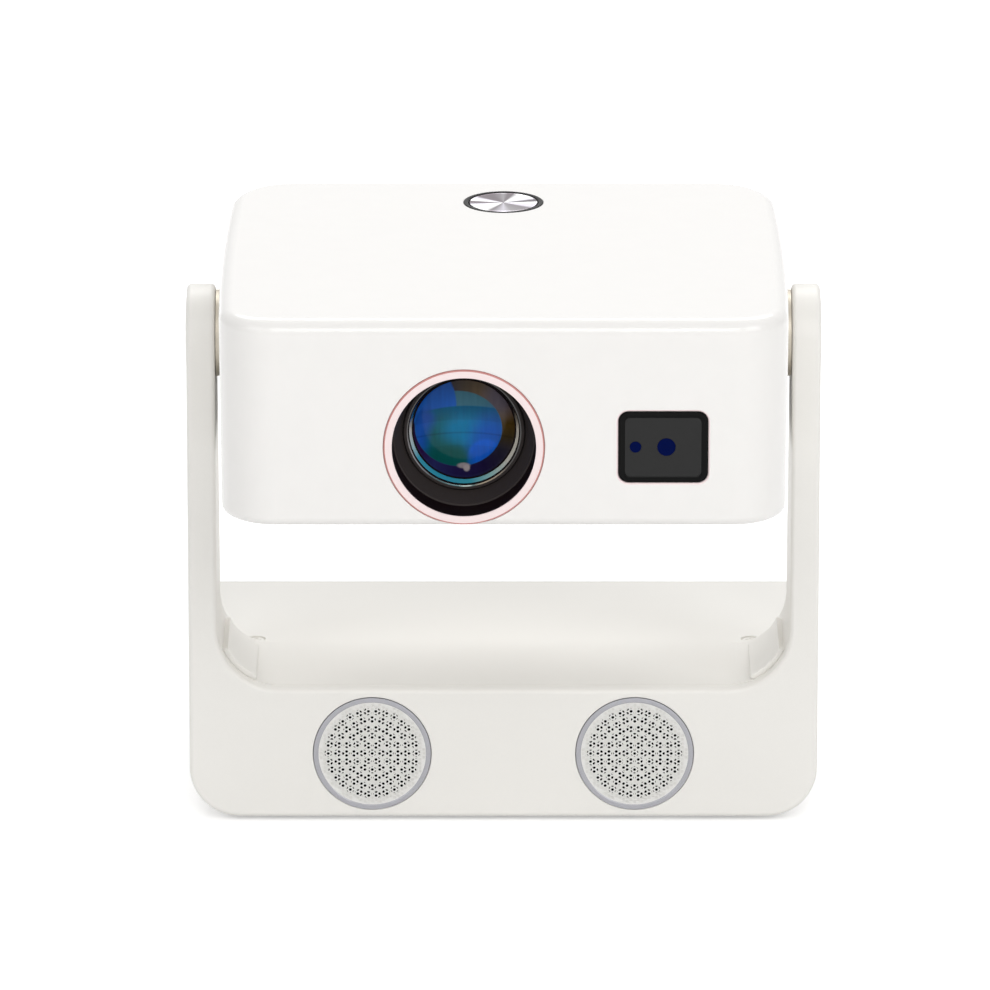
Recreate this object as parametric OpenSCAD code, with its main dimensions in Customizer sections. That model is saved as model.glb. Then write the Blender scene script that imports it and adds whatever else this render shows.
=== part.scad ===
// Home projector: a rounded projector body that tilts between the arms of a U-shaped speaker stand.
// Front faces -Y, +Z is up, and the origin is on the table under the middle of the whole object.
// Lengths are in millimetres and angles in degrees.

/* [Body] */
// Width of the projector body
body_w = 188; // [176:1:200]
// Reach of the body ahead of the tilt axis
body_ahead = 96; // [92:0.5:104]
// Reach of the body behind the tilt axis
body_behind = 72.5; // [70:0.5:84]
// Height of the body above the tilt axis
body_above = 32; // [30:0.5:36]
// Depth of the body below the tilt axis
body_below = 38; // [38:0.5:41]
// Radius of the upright corners
body_corner_r = 18; // [13:0.5:22]
// Radius of the edge round the top
top_edge_r = 5; // [3:0.5:8]
// Radius of the edge round the underside
bottom_edge_r = 3; // [2.5:0.5:5]
// Wall of the body shell
body_wall = 2.2; // [1.8:0.1:2.4]
// Rim left round the rear panel
rear_rim = 7; // [6:0.5:8]
// Gap between the body and each arm
side_gap = 2.4; // [2:0.1:4]

/* [Stand] */
// Height of the tilt axis above the table
axis_h = 167.5; // [164:0.5:180]
// Reach of the base behind the tilt axis
base_back = 106; // [98:1:115]
// Reach of each arm behind the tilt axis where it meets the base
arm_back = 33; // [28:1:44]
// Radius between an arm's rear edge and the base
arm_foot_r = 3; // [2:0.5:6]
// Height of the base's top face above the table
base_h = 46.8; // [46.8:0.2:54]
// Radius of the round top of each arm
arm_head_r = 16.5; // [16:0.5:19]
// Thickness of each arm
arm_t = 9.6; // [9.6:0.1:12]
// Outer radius of the two bottom corners
bottom_r = 17; // [14:1:20]
// Radius where the arms run into the base
inner_r = 21; // [18:1:28]
// Radius of the base's top rear edge
back_r = 3; // [2.5:0.5:6]
// Wall of the stand's mouldings
stand_wall = 2; // [1.6:0.1:2.2]
// Depth of the rear cover
seam_in = 3; // [2.5:0.5:6]
// Height of the rubber feet under the base
foot_proud = 1.5; // [1:0.1:2.5]
// Diameter of each rubber foot
foot_d = 14; // [10:1:18]

/* [Lens] */
// Distance of the lens axis to the left of the middle
lens_left = 13; // [10:0.5:16]
// Depth of the lens axis below the tilt axis
lens_drop = 10.8; // [9:0.2:11.4]
// Outer diameter of the trim ring round the lens port
port_d = 53; // [51.6:0.2:53.2]
// Width of the trim ring's face
ring_w = 2.5; // [2:0.1:3]
// How far the trim ring stands out of the front
ring_proud = 0.3; // [0.1:0.1:0.6]
// Diameter of the front lens
lens_d = 35.5; // [33:0.5:36]
// Depth of the front lens behind the face
lens_depth = 17.7; // [16:0.1:19]
// Travel of the focus cell each way
focus_travel = 1.5; // [0.5:0.1:2]

/* [Sensor window] */
// Distance of the window's middle to the right of the middle
window_right = 52.1; // [48:0.5:56]
// Width of the window
window_w = 29.3; // [28:0.1:32]
// Height of the window
window_h = 24.2; // [22:0.1:26]
// Corner radius of the window
window_r = 3.3; // [2.6:0.1:5]
// Width of the window's black border
window_border = 2.3; // [1.8:0.1:2.6]
// Diameter of the camera's round glass
camera_d = 5.9; // [5:0.1:7]
// Diameter of the distance sensor's round glass
sensor_d = 3.7; // [3:0.1:4.5]

/* [Power button] */
// Diameter of the metal cap
button_d = 23; // [20:0.5:25]
// Width of the black ring round the cap
button_ring_w = 2; // [1.5:0.1:3]
// Distance of the button's middle from the rear face
button_from_rear = 24.6; // [22:0.2:30]
// Travel of the button
button_travel = 0.8; // [0.4:0.1:0.9]

/* [Speakers] */
// Diameter of each grille
speaker_d = 40.2; // [36:0.2:40.6]
// Distance between the two speaker axes
speaker_pitch = 88.6; // [84:0.2:100]
// Width of the grille's solid rim
grille_rim = 1.9; // [1.5:0.1:2.5]
// Diameter of each grille hole
grille_hole = 1.3; // [0.8:0.1:1.6]
// Distance between rings of grille holes
grille_step = 2.92; // [2.6:0.02:3.2]
// Travel of each cone each way
cone_travel = 1; // [0.3:0.1:1]

/* [Tilt hinge] */
// How far the front tilts up, degrees
tilt_up = 90; // [60:5:110]
// How far the front tilts down, degrees
tilt_down = 45; // [20:5:60]
// Diameter of the hinge shafts
shaft_d = 12; // [10:0.5:13]
// Diameter of the cable bore through the shafts
cable_bore = 6.4; // [5:0.2:7]
// Diameter of the round caps on the arms
cap_d = 25; // [24:0.5:27]
// Diameter of the discs between body and arms
hub_d = 29; // [28:0.5:30]
// Running clearance on shafts, on the radius
running = 0.05; // [0.03:0.01:0.09]

/* [Hidden] */
$fn = 64;

// General fits
slip = 0.15;       // gap round a piece that drops into an opening
touch_gap = 0.3;   // gap between pieces that move past each other
through = 1;       // how far a cut runs past a face

// Body frame: its origin is on the tilt axis
axis_y = (body_ahead + ring_proud - base_back) / 2;
inner_ahead = body_ahead - body_wall;
inner_above = body_above - body_wall;
inner_below = body_below - body_wall;
inner_half = body_w / 2 - body_wall;

// Stand
arm_in = body_w / 2 + side_gap;
arm_out = arm_in + arm_t;
floor_in = foot_proud + stand_wall;
head_c = [0, axis_h];
back_c = [base_back - back_r, base_h - back_r];
slope = [arm_back, base_h] - head_c;
slope_n_angle = atan2(slope[1], slope[0]) + acos(arm_head_r / norm(slope));
slope_n = [cos(slope_n_angle), sin(slope_n_angle)];
foot_c = [arm_rear(base_h + arm_foot_r, -arm_foot_r), base_h + arm_foot_r];
cover_top = axis_h - arm_head_r - 4;
cover_low = base_h + inner_r + 2;
weight_t = 8;
amp_post = 4;
amp_z = floor_in + weight_t + amp_post;
amp_half = 42;
amp_front = 34;
tripod_y = -axis_y;
tripod_r = 6;
tripod_bore = 6.35;
tripod_deep = 8;
bracket_half = 12.5;
plate_half = arm_out - bottom_r - 3;
plate_front = -arm_head_r + stand_wall + 4;
plate_back = base_back - seam_in - 5;
plate_r = 6;
speaker_h = foot_proud + (base_h - foot_proud) / 2;
speaker_axes = [-speaker_pitch / 2, speaker_pitch / 2];
speaker_face = -arm_head_r;
pillar_r = 3.6;
screw_r = 1.4;
pillar_x = plate_half - 8;
foot_x = pillar_x - 7 - foot_d / 2;
corner_screw_r = 1.5;
corner_sink_r = corner_screw_r + 1.6;
corner_screw_x = arm_in - inner_r + 9;
corner_screw_y = arm_back + arm_foot_r + corner_sink_r + 0.3;
lining_t = 2.4;
lining_ahead = 2.4;
lining_back = arm_back - 10;
pillars = [for (x = [-pillar_x, pillar_x], y = [plate_front + 6, plate_back - 8]) [x, y]];

// Hinge stack, measured outwards along X from the body's side
bracket_t = 2;
washer_t = 1;
nut_t = 2.2;
bracket_x = arm_in + stand_wall;
washer_x = bracket_x + bracket_t + running;
nut_x = washer_x + washer_t + running;
shaft_end = nut_x + nut_t + 0.2;
stop_r = 11.2;
stop_pin_r = 1.3;
stop_margin = asin((stop_pin_r + touch_gap) / stop_r);
stop_at = 90;
cap_t = arm_out - shaft_end - touch_gap + 0.4;

// Speakers, measured from the front of the base
grille_rings = floor((speaker_d / 2 - grille_rim - 2.2) / grille_step);
grille_t = 1;
grille_proud = 0.3;
basket_r = speaker_d / 2 - 0.6;
basket_y = stand_wall + 0.4;
basket_depth = 9;
basket_lip = 4;
magnet_r = 12;
magnet_t = 9;
cone_y = grille_t + cone_travel + 1;
coil_in = 3;
coil_r = 5;
coil_wall = 0.3;

// Lens and focus drive, measured from the lens axis
lens_x = -lens_left;
lens_z = -lens_drop;
ring_r = port_d / 2;
port_r = ring_r - ring_w;
ring_depth = body_wall + 1;
step_depth = 8;
lens_y = -body_ahead + lens_depth;
cell_r = lens_d / 2 + 2.2;
cell_len = 23;
barrel_wall = 2.5;
barrel_r = cell_r + running + barrel_wall;
barrel_front = lens_y + 2.3;
engine_front = -body_ahead + 56;
motor_r = 5;
drive_h = barrel_r + motor_r + 0.1;
screw_x = 5;
lug_y = lens_y + 13;
lug_len = 5;
lead_r = 1.5;
rod_r = 1.5;
rear_lens_r = 14;
flange_x = 24;
flange_low = 18;
flange_top = 20;
flange_t = 2;
ear_x = 9;
ear_t = 2.5;
lug_x = 8;

// Chassis and what stands on it
chassis_t = 1.4;
chassis_wall = 2;
chassis_top = 14;
chassis_half = body_w / 2 - rear_rim - 0.4;
chassis_z = -(body_below - rear_rim) + 0.2;
deck_z = chassis_z + chassis_t;
panel_t = 2.4;
panel_in = body_corner_r - sqrt(pow(body_corner_r, 2) - pow(body_corner_r - rear_rim, 2)) + 0.4;
panel_back = body_behind - panel_in;
panel_front = panel_back - panel_t;
chassis_back = panel_front - 3;
board_t = 1.6;
engine_half = 29;
engine_len = 48;
engine_top = 12;
engine_wall = 2.5;
engine_left = lens_x - engine_half;
engine_back = engine_front + engine_len;
light_r = 8;
prism_half = 11;
prism_y = engine_back - 16;
imager_half = 20;
imager_low = 17;
led_t = 4;
led_plate_t = 2.4;
led_y = 17;
led_z = 15;
sink_right = engine_left - led_t;
sink_left = -chassis_half + chassis_wall + 4.6;
sink_front = engine_front + 15;
sink_base_t = 4;
sink_top = body_above - rear_rim - 3;
fin_pitch = 4;
fin_t = 0.9;
pipe_r = 3;
fan_size = 50;
fan_t = 15;
fan_back = panel_front - 4;
fan_front = fan_back - fan_t;
sink_back = fan_front - 1;
pipes = [[sink_right - 13, sink_front + 16], [sink_right - 25, sink_front + 32]];
fan_z = deck_z + fan_size / 2;
fan_r = fan_size / 2 - 1.5;
fan_hub_r = 9.5;
fan_pin_r = 1;
fan_blades = 7;
case_dx = chassis_half - 9.5;
case_half = 3.2;
case_points = [for (x = [-case_dx, case_dx], z = [deck_z + 2, body_above - rear_rim - 7]) [x, z]];
fan_x = -case_dx + case_half + 0.5 + fan_size / 2;
board_left = lens_x + engine_half + 8;
board_right = chassis_half - 3;
board_front = -body_ahead + 22;
board_back = chassis_back - 1.2;
board_z = deck_z + 5;
sockets_z = board_z + board_t;
socket_back = panel_back - 0.4;
audio_x = board_left + 6;
usb_x = audio_x + 12.5;
hdmi_x = usb_x + 16.5;
power_x = hdmi_x + 14;
audio_r = 3.6;
audio_z = sockets_z + 4;
power_r = 5;
power_z = sockets_z + 5.5;
hdmi_size = [15, 6];
usb_size = [14.2, 7];
vent_pitch = 4;
vent_h = 2.2;
vents = [-5:5];

// Power button
button_y = body_behind - button_from_rear;
button_r = button_d / 2;
button_hole = button_r + button_ring_w;
cap_top = body_above;
cap_plate = 1.4;
ledge_z = body_above - body_wall - 1.6;
ledge_t = 1;
stem_r = button_r - 2.6;
stem_bottom = ledge_z - 1.8;
switch_z = stem_bottom - 9;
switch_h = 3.6;
pusher_z = switch_z + board_t + switch_h + button_travel + running;
spring_r = 4.2;
spring_wire = 0.3;

// Sensor window
window_x = window_right;
window_z = lens_z;
window_depth = 6;
glass_t = 1.2;
glass_back = -body_ahead + 1.5;
camera_x = window_x + 1.05;
sensor_x = camera_x - 10.1;

// --- Shared shapes -----------------------------------------------------------------------------------

// Points on an arc about c from angle a to angle b
function arc(c, r, a, b, steps = 10) =
    [for (i = [0:steps]) let (t = a + (b - a) * i / steps) c + r * [cos(t), sin(t)]];

// Outline of a rectangle with round corners, centred on the origin
module rounded_rect(w, h, r) {
    square([w - 2 * r, h], center = true);
    square([w, h - 2 * r], center = true);
    for (x = [-1, 1], y = [-1, 1]) translate([x * (w / 2 - r), y * (h / 2 - r)]) circle(r);
}

// Extrudes an outline drawn in x and z along Y, from y0 to y1
module along_y(y0, y1) {
    translate([0, y1, 0]) rotate([90, 0, 0]) linear_extrude(y1 - y0) children();
}

// Extrudes an outline drawn in y and z along X, from x0 to x1
module along_x(x0, x1) {
    translate([x0, 0, 0]) rotate([90, 0, 90]) linear_extrude(x1 - x0) children();
}

// Cylinder along Y, from y0 to y1
module rod_y(r, y0, y1) {
    translate([0, y1, 0]) rotate([90, 0, 0]) cylinder(r = r, h = y1 - y0);
}

// Cylinder along X, from x0 to x1
module rod_x(r, x0, x1) {
    translate([x0, 0, 0]) rotate([0, 90, 0]) cylinder(r = r, h = x1 - x0);
}

// Round tube along Y
module tube_y(outer, inner, y0, y1) {
    difference() {
        rod_y(outer, y0, y1);
        rod_y(inner, y0 - through, y1 + through);
    }
}

// Box between two corners
module block(low, high) {
    translate(low) cube(high - low);
}

// Profile drawn as radius and distance, turned about the Y axis; distance runs along +Y
module turned_y() {
    rotate([-90, 0, 0]) rotate_extrude($fn = 96) children();
}

// Round wire or hose swept along a list of points; side is any direction not along the path
module swept(path, r, sides, side) {
    last = len(path) - 1;
    rings = [for (i = [0:last])
        let (ahead = path[min(i + 1, last)] - path[max(i - 1, 0)],
             t = ahead / norm(ahead),
             n0 = cross(t, side),
             n = n0 / norm(n0),
             b = cross(t, n))
        [for (k = [0:sides - 1]) path[i] + r * (cos(360 * k / sides) * n + sin(360 * k / sides) * b)]];
    polyhedron(
        points = [for (ring = rings, p = ring) p],
        faces = concat(
            [[for (k = [sides - 1:-1:0]) k]],
            [[for (k = [0:sides - 1]) last * sides + k]],
            [for (i = [0:last - 1], k = [0:sides - 1])
                let (a = i * sides + k, b = i * sides + (k + 1) % sides)
                [a, b, b + sides, a + sides]]));
}

// Machine screw with a round head; its tip points down and its head's top is at z = 0
module screw(head_r, head_t, r, length) {
    translate([0, 0, -head_t]) cylinder(r = head_r, h = head_t, $fn = 32);
    translate([0, 0, -length]) cylinder(r = r, h = length, $fn = 32);
}

module at_axis() translate([0, axis_y, axis_h]) children();
module at_base() translate([0, axis_y, 0]) children();
module on_lens() translate([lens_x, 0, lens_z]) children();

// Puts a piece drawn on the right side on the left side
module other_side() mirror([1, 0, 0]) children();

// --- Stand -------------------------------------------------------------------------------------------

// How far back an arm's rear edge is at height z, when the stand is shrunk by inset
function arm_rear(z, inset) = (arm_head_r - inset - (z - axis_h) * slope_n[1]) / slope_n[0];

// Side outline of the stand in y and z, shrunk all round by inset
module side_outline(inset) {
    hr = arm_head_r - inset;
    br = back_r - inset;
    translate(head_c) circle(hr, $fn = 96);
    polygon(concat([[-hr, foot_proud + inset], [-hr, axis_h], head_c + hr * slope_n],
                   arc(foot_c, arm_foot_r + inset, 180 + slope_n_angle, 270),
                   arc(back_c, br, 90, 0), [[base_back - inset, foot_proud + inset]]));
}

// Front outline of the stand in x and z, before the gap between the arms is cut
module front_outline(inset) {
    half = arm_out - inset;
    corner = arm_out - bottom_r;
    translate([-half, foot_proud + bottom_r]) square([2 * half, axis_h]);
    translate([-corner, foot_proud + inset]) square([2 * corner, bottom_r]);
    for (x = [-corner, corner]) translate([x, foot_proud + bottom_r]) circle(bottom_r - inset);
}

// The gap between the arms in x and z, grown all round
module gap_outline(grow) {
    half = arm_in + grow;
    corner = arm_in - inner_r;
    translate([-half, base_h + inner_r]) square([2 * half, axis_h]);
    translate([-corner, base_h - grow]) square([2 * corner, inner_r + grow + through]);
    for (x = [-corner, corner]) translate([x, base_h + inner_r]) circle(inner_r + grow);
}

// The stand's outer form, or the hollow inside it
module stand_form(inset) {
    difference() {
        intersection() {
            along_x(-arm_out - through, arm_out + through) side_outline(inset);
            along_y(-arm_head_r - through, base_back + through) front_outline(inset);
        }
        along_y(-arm_head_r - 2 * through, base_back + 2 * through) gap_outline(inset);
    }
}

module stand_hollow() {
    difference() {
        stand_form(0);
        stand_form(stand_wall);
    }
}

// Outline in y and z of the parts of the stand that belong to the rear cover, grown by a gap
module rear_zone(gap) {
    top = cover_top + gap;
    low = cover_low - gap;
    flat = base_back - seam_in - gap;
    polygon([[arm_rear(top, seam_in + gap), top], [arm_rear(low, seam_in + gap), low],
             [arm_rear(low, -through), low], [arm_rear(top, -through), top]]);
    translate([flat, -through]) square([base_back + through - flat, base_h + 2 * through]);
}

// Opening in the underside that the base plate closes
module plate_outline(gap) {
    w = 2 * (plate_half - gap);
    h = plate_back - plate_front - 2 * gap;
    translate([0, (plate_back + plate_front) / 2]) rounded_rect(w, h, plate_r - gap);
}

// Where the corner screw sits, in the base's top behind an arm
module at_corner_screw() {
    translate([corner_screw_x, corner_screw_y, base_h]) children();
}

module stand_shell() {
    color([0.93, 0.92, 0.9]) at_base() {
        difference() {
            stand_hollow();
            along_x(-arm_out - through, arm_out + through) rear_zone(slip);
            translate([0, 0, foot_proud - through]) linear_extrude(stand_wall + 2 * through)
                plate_outline(0);
            for (x = speaker_axes) translate([x, 0, speaker_h])
                rod_y(speaker_d / 2 + slip, speaker_face - through, speaker_face + stand_wall + through);
            for (side = [0, 1]) mirror([side, 0, 0]) {
                translate([0, 0, axis_h]) {
                    rod_x(shaft_d / 2 + touch_gap, arm_in - through, bracket_x + through);
                    rod_x(cap_d / 2 + slip, arm_out - stand_wall - through, arm_out + through);
                    rotate([stop_at, 0, 0]) translate([0, stop_r, 0])
                        rod_x(stop_pin_r + slip, arm_in - through, bracket_x + through);
                }
                at_corner_screw() translate([0, 0, -0.8]) cylinder(r = corner_sink_r, h = 3);
                at_corner_screw() translate([0, 0, -4]) cylinder(r = corner_screw_r + 0.1, h = 5);
            }
        }
        for (p = pillars) translate([p[0], p[1], floor_in]) difference() {
            cylinder(r = pillar_r, h = base_h - stand_wall - floor_in + 0.5);
            translate([0, 0, -through]) cylinder(r = screw_r, h = 13);
        }
    }
}

module stand_rear_cover() {
    color([0.9, 0.89, 0.87]) at_base() intersection() {
        stand_hollow();
        along_x(-arm_out - through, arm_out + through) rear_zone(0);
    }
}

module base_plate() {
    color([0.16, 0.16, 0.17]) at_base() difference() {
        translate([0, 0, foot_proud]) linear_extrude(stand_wall) plate_outline(slip);
        for (p = pillars) translate([p[0], p[1], foot_proud - through])
            cylinder(r = screw_r + 0.2, h = stand_wall + 2 * through);
        for (p = pillars) translate([p[0], p[1], foot_proud - through]) cylinder(r = 3, h = through + 0.9);
        translate([0, tripod_y, foot_proud - through])
            cylinder(r = tripod_r, h = stand_wall + 2 * through);
    }
}

module feet() {
    color([0.12, 0.12, 0.12]) at_base()
        for (x = [-foot_x, foot_x], y = [plate_front + foot_d / 2 + 2, plate_back - foot_d / 2 - 2])
            translate([x, y, 0]) cylinder(r = foot_d / 2, h = foot_proud);
}

module base_screws() {
    color("silver") at_base() for (p = pillars)
        translate([p[0], p[1], foot_proud + 0.3]) mirror([0, 0, 1]) screw(2.7, 0.6, screw_r, 9);
}

module base_weight() {
    front = 26;
    back = plate_back - 4;
    color([0.45, 0.45, 0.47]) at_base() difference() {
        translate([0, (front + back) / 2, floor_in])
            linear_extrude(weight_t) rounded_rect(2 * plate_half - 12, back - front, 5);
        for (p = pillars) translate([p[0], p[1], 0]) cylinder(r = pillar_r + touch_gap, h = base_h);
    }
}

module tripod_insert() {
    color("goldenrod") at_base() translate([0, tripod_y, 0]) difference() {
        union() {
            translate([0, 0, foot_proud]) cylinder(r = tripod_r, h = tripod_deep + 2);
            translate([0, 0, foot_proud + stand_wall]) cylinder(r = tripod_r + 3, h = 2.5);
        }
        translate([0, 0, foot_proud - through]) cylinder(r = tripod_bore / 2, h = tripod_deep + through);
    }
}

module amplifier_board() {
    back = plate_back - 10;
    inset = 4;
    top = amp_z + board_t;
    color([0.1, 0.35, 0.2]) at_base() {
        block([-amp_half, amp_front, amp_z], [amp_half, back, top]);
        for (x = [-amp_half + inset, amp_half - inset], y = [amp_front + inset, back - inset])
            translate([x, y, amp_z - amp_post]) cylinder(r = 2.5, h = amp_post, $fn = 32);
        block([-14, amp_front + 10, top], [14, amp_front + 28, top + 6]);
        for (x = [-30, 24, 34]) translate([x, amp_front + 36, top]) cylinder(r = 4, h = 10, $fn = 32);
    }
}

// Steel plate inside one arm that carries the hinge, with a foot that turns in above the base plate
module arm_bracket(side) {
    foot_z = foot_proud + bottom_r - 6;
    half = bracket_half;
    color([0.62, 0.63, 0.65]) at_base() mirror([side, 0, 0]) {
        difference() {
            union() {
                along_x(bracket_x, bracket_x + bracket_t) {
                    translate(head_c) circle(half);
                    translate([-half, foot_z]) square([2 * half, axis_h - foot_z]);
                }
                block([arm_in - 12, -half, foot_z], [bracket_x + bracket_t, half, foot_z + bracket_t]);
            }
            translate([0, 0, axis_h]) rod_x(shaft_d / 2 + running, arm_in, bracket_x + bracket_t + through);
        }
        translate([0, 0, axis_h]) rotate([stop_at, 0, 0]) translate([0, stop_r, 0])
            rod_x(stop_pin_r, arm_in - 1.4, bracket_x + bracket_t);
    }
}

module arm_bracket_left() arm_bracket(1);
module arm_bracket_right() arm_bracket(0);

module friction_washers() {
    color("silver") at_axis() for (side = [0, 1]) mirror([side, 0, 0]) difference() {
        rod_x(shaft_d / 2 + 3.6, washer_x - running, washer_x + washer_t - running);
        rod_x(shaft_d / 2 + running, arm_in, arm_out);
    }
}

// Round cap over the hinge nut, in the arm's outer face
module arm_cap(side) {
    rim = 1.2;
    color([0.93, 0.92, 0.9]) at_axis() mirror([side, 0, 0]) {
        rod_x(cap_d / 2, arm_out + 0.4 - cap_t, arm_out + 0.4);
        difference() {
            rod_x(cap_d / 2, nut_x, arm_out);
            rod_x(cap_d / 2 - rim, nut_x - through, arm_out);
        }
    }
}

module arm_cap_left() arm_cap(1);
module arm_cap_right() arm_cap(0);

// Raised lining in the corner between an arm and the base, with a rounded inner end
module corner_cover(side) {
    t = lining_t;
    from = 12;
    to = 64;
    color([0.95, 0.94, 0.92]) at_base() mirror([side, 0, 0])
        translate([arm_in - inner_r, 0, base_h + inner_r]) along_y(-arm_head_r + lining_ahead, lining_back) {
            intersection() {
                difference() {
                    circle(inner_r, $fn = 128);
                    circle(inner_r - t, $fn = 128);
                }
                polygon([[0, 0], 2 * inner_r * [cos(from), -sin(from)],
                         3 * inner_r * [cos((from + to) / 2), -sin((from + to) / 2)],
                         2 * inner_r * [cos(to), -sin(to)]]);
            }
            translate((inner_r - t / 2) * [cos(to), -sin(to)]) circle(t / 2);
        }
}

module corner_cover_left() corner_cover(1);
module corner_cover_right() corner_cover(0);

module corner_screws() {
    color("silver") at_base() for (side = [0, 1]) mirror([side, 0, 0])
        at_corner_screw() translate([0, 0, -0.2]) screw(corner_screw_r + 1.1, 0.6, corner_screw_r, 3.6);
}

// --- Speakers ----------------------------------------------------------------------------------------

module at_speaker(i) at_base() translate([speaker_axes[i], speaker_face, speaker_h]) children();

// Pressed metal grille: a plain rim round rings of small holes
module speaker_grille(i) {
    r = speaker_d / 2;
    color([0.7, 0.7, 0.72]) at_speaker(i) {
        tube_y(r, r - grille_rim, -grille_proud, stand_wall + 0.4);
        difference() {
            rod_y(r - grille_rim + 0.2, 0, grille_t);
            for (ring = [0:grille_rings], k = [0:max(6 * ring, 1) - 1])
                rotate([0, 360 * k / max(6 * ring, 1), 0]) translate([ring * grille_step, 0, 0])
                    rotate([90, 0, 0]) cylinder(r = grille_hole / 2, h = 4, center = true, $fn = 8);
        }
    }
}

module speaker_grille_left() speaker_grille(0);
module speaker_grille_right() speaker_grille(1);

module speaker_basket(i) {
    r = basket_r;
    wall = 1.2;
    back = basket_y + basket_depth;
    color([0.2, 0.2, 0.22]) at_speaker(i) difference() {
        turned_y() polygon([[r - basket_lip, basket_y], [r, basket_y], [r, basket_y + 1.6],
                            [r - 1.5, basket_y + 1.6], [magnet_r, back], [coil_r + 1.5, back],
                            [coil_r + 1.5, back - wall], [magnet_r - wall, back - wall],
                            [r - basket_lip, basket_y + 3.2]]);
        for (a = [45, 135, 225, 315]) rotate([0, a, 0])
            block([magnet_r + 1, basket_y + 3, -2.5], [r + 1, back - 2, 2.5]);
    }
}

module speaker_basket_left() speaker_basket(0);
module speaker_basket_right() speaker_basket(1);

module speaker_magnet(i) {
    y = basket_y + basket_depth;
    color([0.3, 0.3, 0.32]) at_speaker(i) difference() {
        rod_y(magnet_r, y, y + magnet_t);
        tube_y(coil_r + 0.7, coil_r - 0.7, y - through, y + coil_in + cone_travel + 1.5);
    }
}

module speaker_magnet_left() speaker_magnet(0);
module speaker_magnet_right() speaker_magnet(1);

// Cone with its rolled edge, dust cap and voice coil
module speaker_cone(i) {
    r = basket_r - basket_lip - touch_gap;
    y = cone_y;
    deep = 5;
    color([0.15, 0.15, 0.16]) at_speaker(i) {
        turned_y() polygon([[coil_r - coil_wall, y + deep], [r - 2.4, y + 0.6], [r, y], [r, y + 0.6],
                            [r - 2.4, y + 1.3], [coil_r + coil_wall, y + deep + 0.8],
                            [coil_r - coil_wall, y + deep + 0.8]]);
        tube_y(coil_r + coil_wall, coil_r - coil_wall, y + deep, basket_y + basket_depth + coil_in);
        rod_y(coil_r, y + deep - 0.4, y + deep + 0.2);
    }
}

module speaker_cone_left() speaker_cone(0);
module speaker_cone_right() speaker_cone(1);

// Wires from the amplifier up the right arm to the hollow hinge shaft
module arm_cable() {
    x = bracket_x + bracket_t + 1.7;
    path = [[60, 40, 24], [80, 34, 24], [x - 8, 28, 27], [x - 2, 22, 36], [x, 17, 50], [x, 15.5, 80],
            [x, 15, 110], [x, 14, axis_h - 26]];
    color([0.15, 0.15, 0.15]) at_base() swept(path, 1.4, 10, [0, 1, 0.2]);
}

// --- Body shell --------------------------------------------------------------------------------------

// Rounded block of the body, shrunk all round by inset
module body_block(inset) {
    r = body_corner_r - inset;
    top = max(top_edge_r - inset, 1);
    low = max(bottom_edge_r - inset, 0.8);
    up = body_above - inset;
    down = -body_below + inset;
    hull() for (x = [-1, 1], y = [-body_ahead + body_corner_r, body_behind - body_corner_r])
        translate([x * (body_w / 2 - body_corner_r), y, 0]) rotate_extrude($fn = 48) intersection() {
            union() {
                translate([0, down + low]) square([r, up - down - top - low]);
                translate([0, up - top]) square([r - top, top]);
                translate([0, down]) square([r - low, low]);
                translate([r - top, up - top]) circle(top, $fn = 24);
                translate([r - low, down + low]) circle(low, $fn = 24);
            }
            translate([0, down]) square([r, up - down]);
        }
}

// Opening at the rear, with the collar that the rear panel closes
module rear_outline(gap) {
    w = body_w - 2 * (rear_rim + gap);
    h = body_above + body_below - 2 * (rear_rim + gap);
    translate([0, (body_above - body_below) / 2]) rounded_rect(w, h, body_corner_r - rear_rim - gap);
}

module outer_shell() {
    rail_x = chassis_half - 24;
    slot = [1.8, 36];
    collar_t = 1.6;
    color([0.95, 0.94, 0.92]) at_axis() {
        difference() {
            union() {
                difference() {
                    body_block(0);
                    body_block(body_wall);
                }
                intersection() {
                    body_block(0);
                    along_y(panel_front - 1, body_behind) rear_outline(-collar_t);
                }
            }
            along_y(panel_front - 1 - through, body_behind + through) rear_outline(0);
            on_lens() rod_y(ring_r + running, -body_ahead - through, -body_ahead + ring_depth + 0.2);
            translate([window_x, 0, window_z]) along_y(-body_ahead - through, -inner_ahead + through)
                rounded_rect(window_w, window_h, window_r);
            translate([0, button_y, body_above - body_wall - through])
                cylinder(r = button_hole + running, h = body_wall + 2 * through);
            for (side = [0, 1]) mirror([side, 0, 0])
                rod_x(shaft_d / 2 + 4 + running, inner_half - through, body_w / 2 + through);
            for (k = vents) translate([rail_x / 2 + 2 + k * vent_pitch, 10, -body_below - through])
                linear_extrude(body_wall + 2 * through) rounded_rect(slot[0], slot[1], 0.88);
        }
        for (x = [-rail_x, rail_x])
            block([x - 1.5, -body_ahead + 30, -inner_below - 0.4], [x + 1.5, body_behind - 14, chassis_z]);
    }
}

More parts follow.
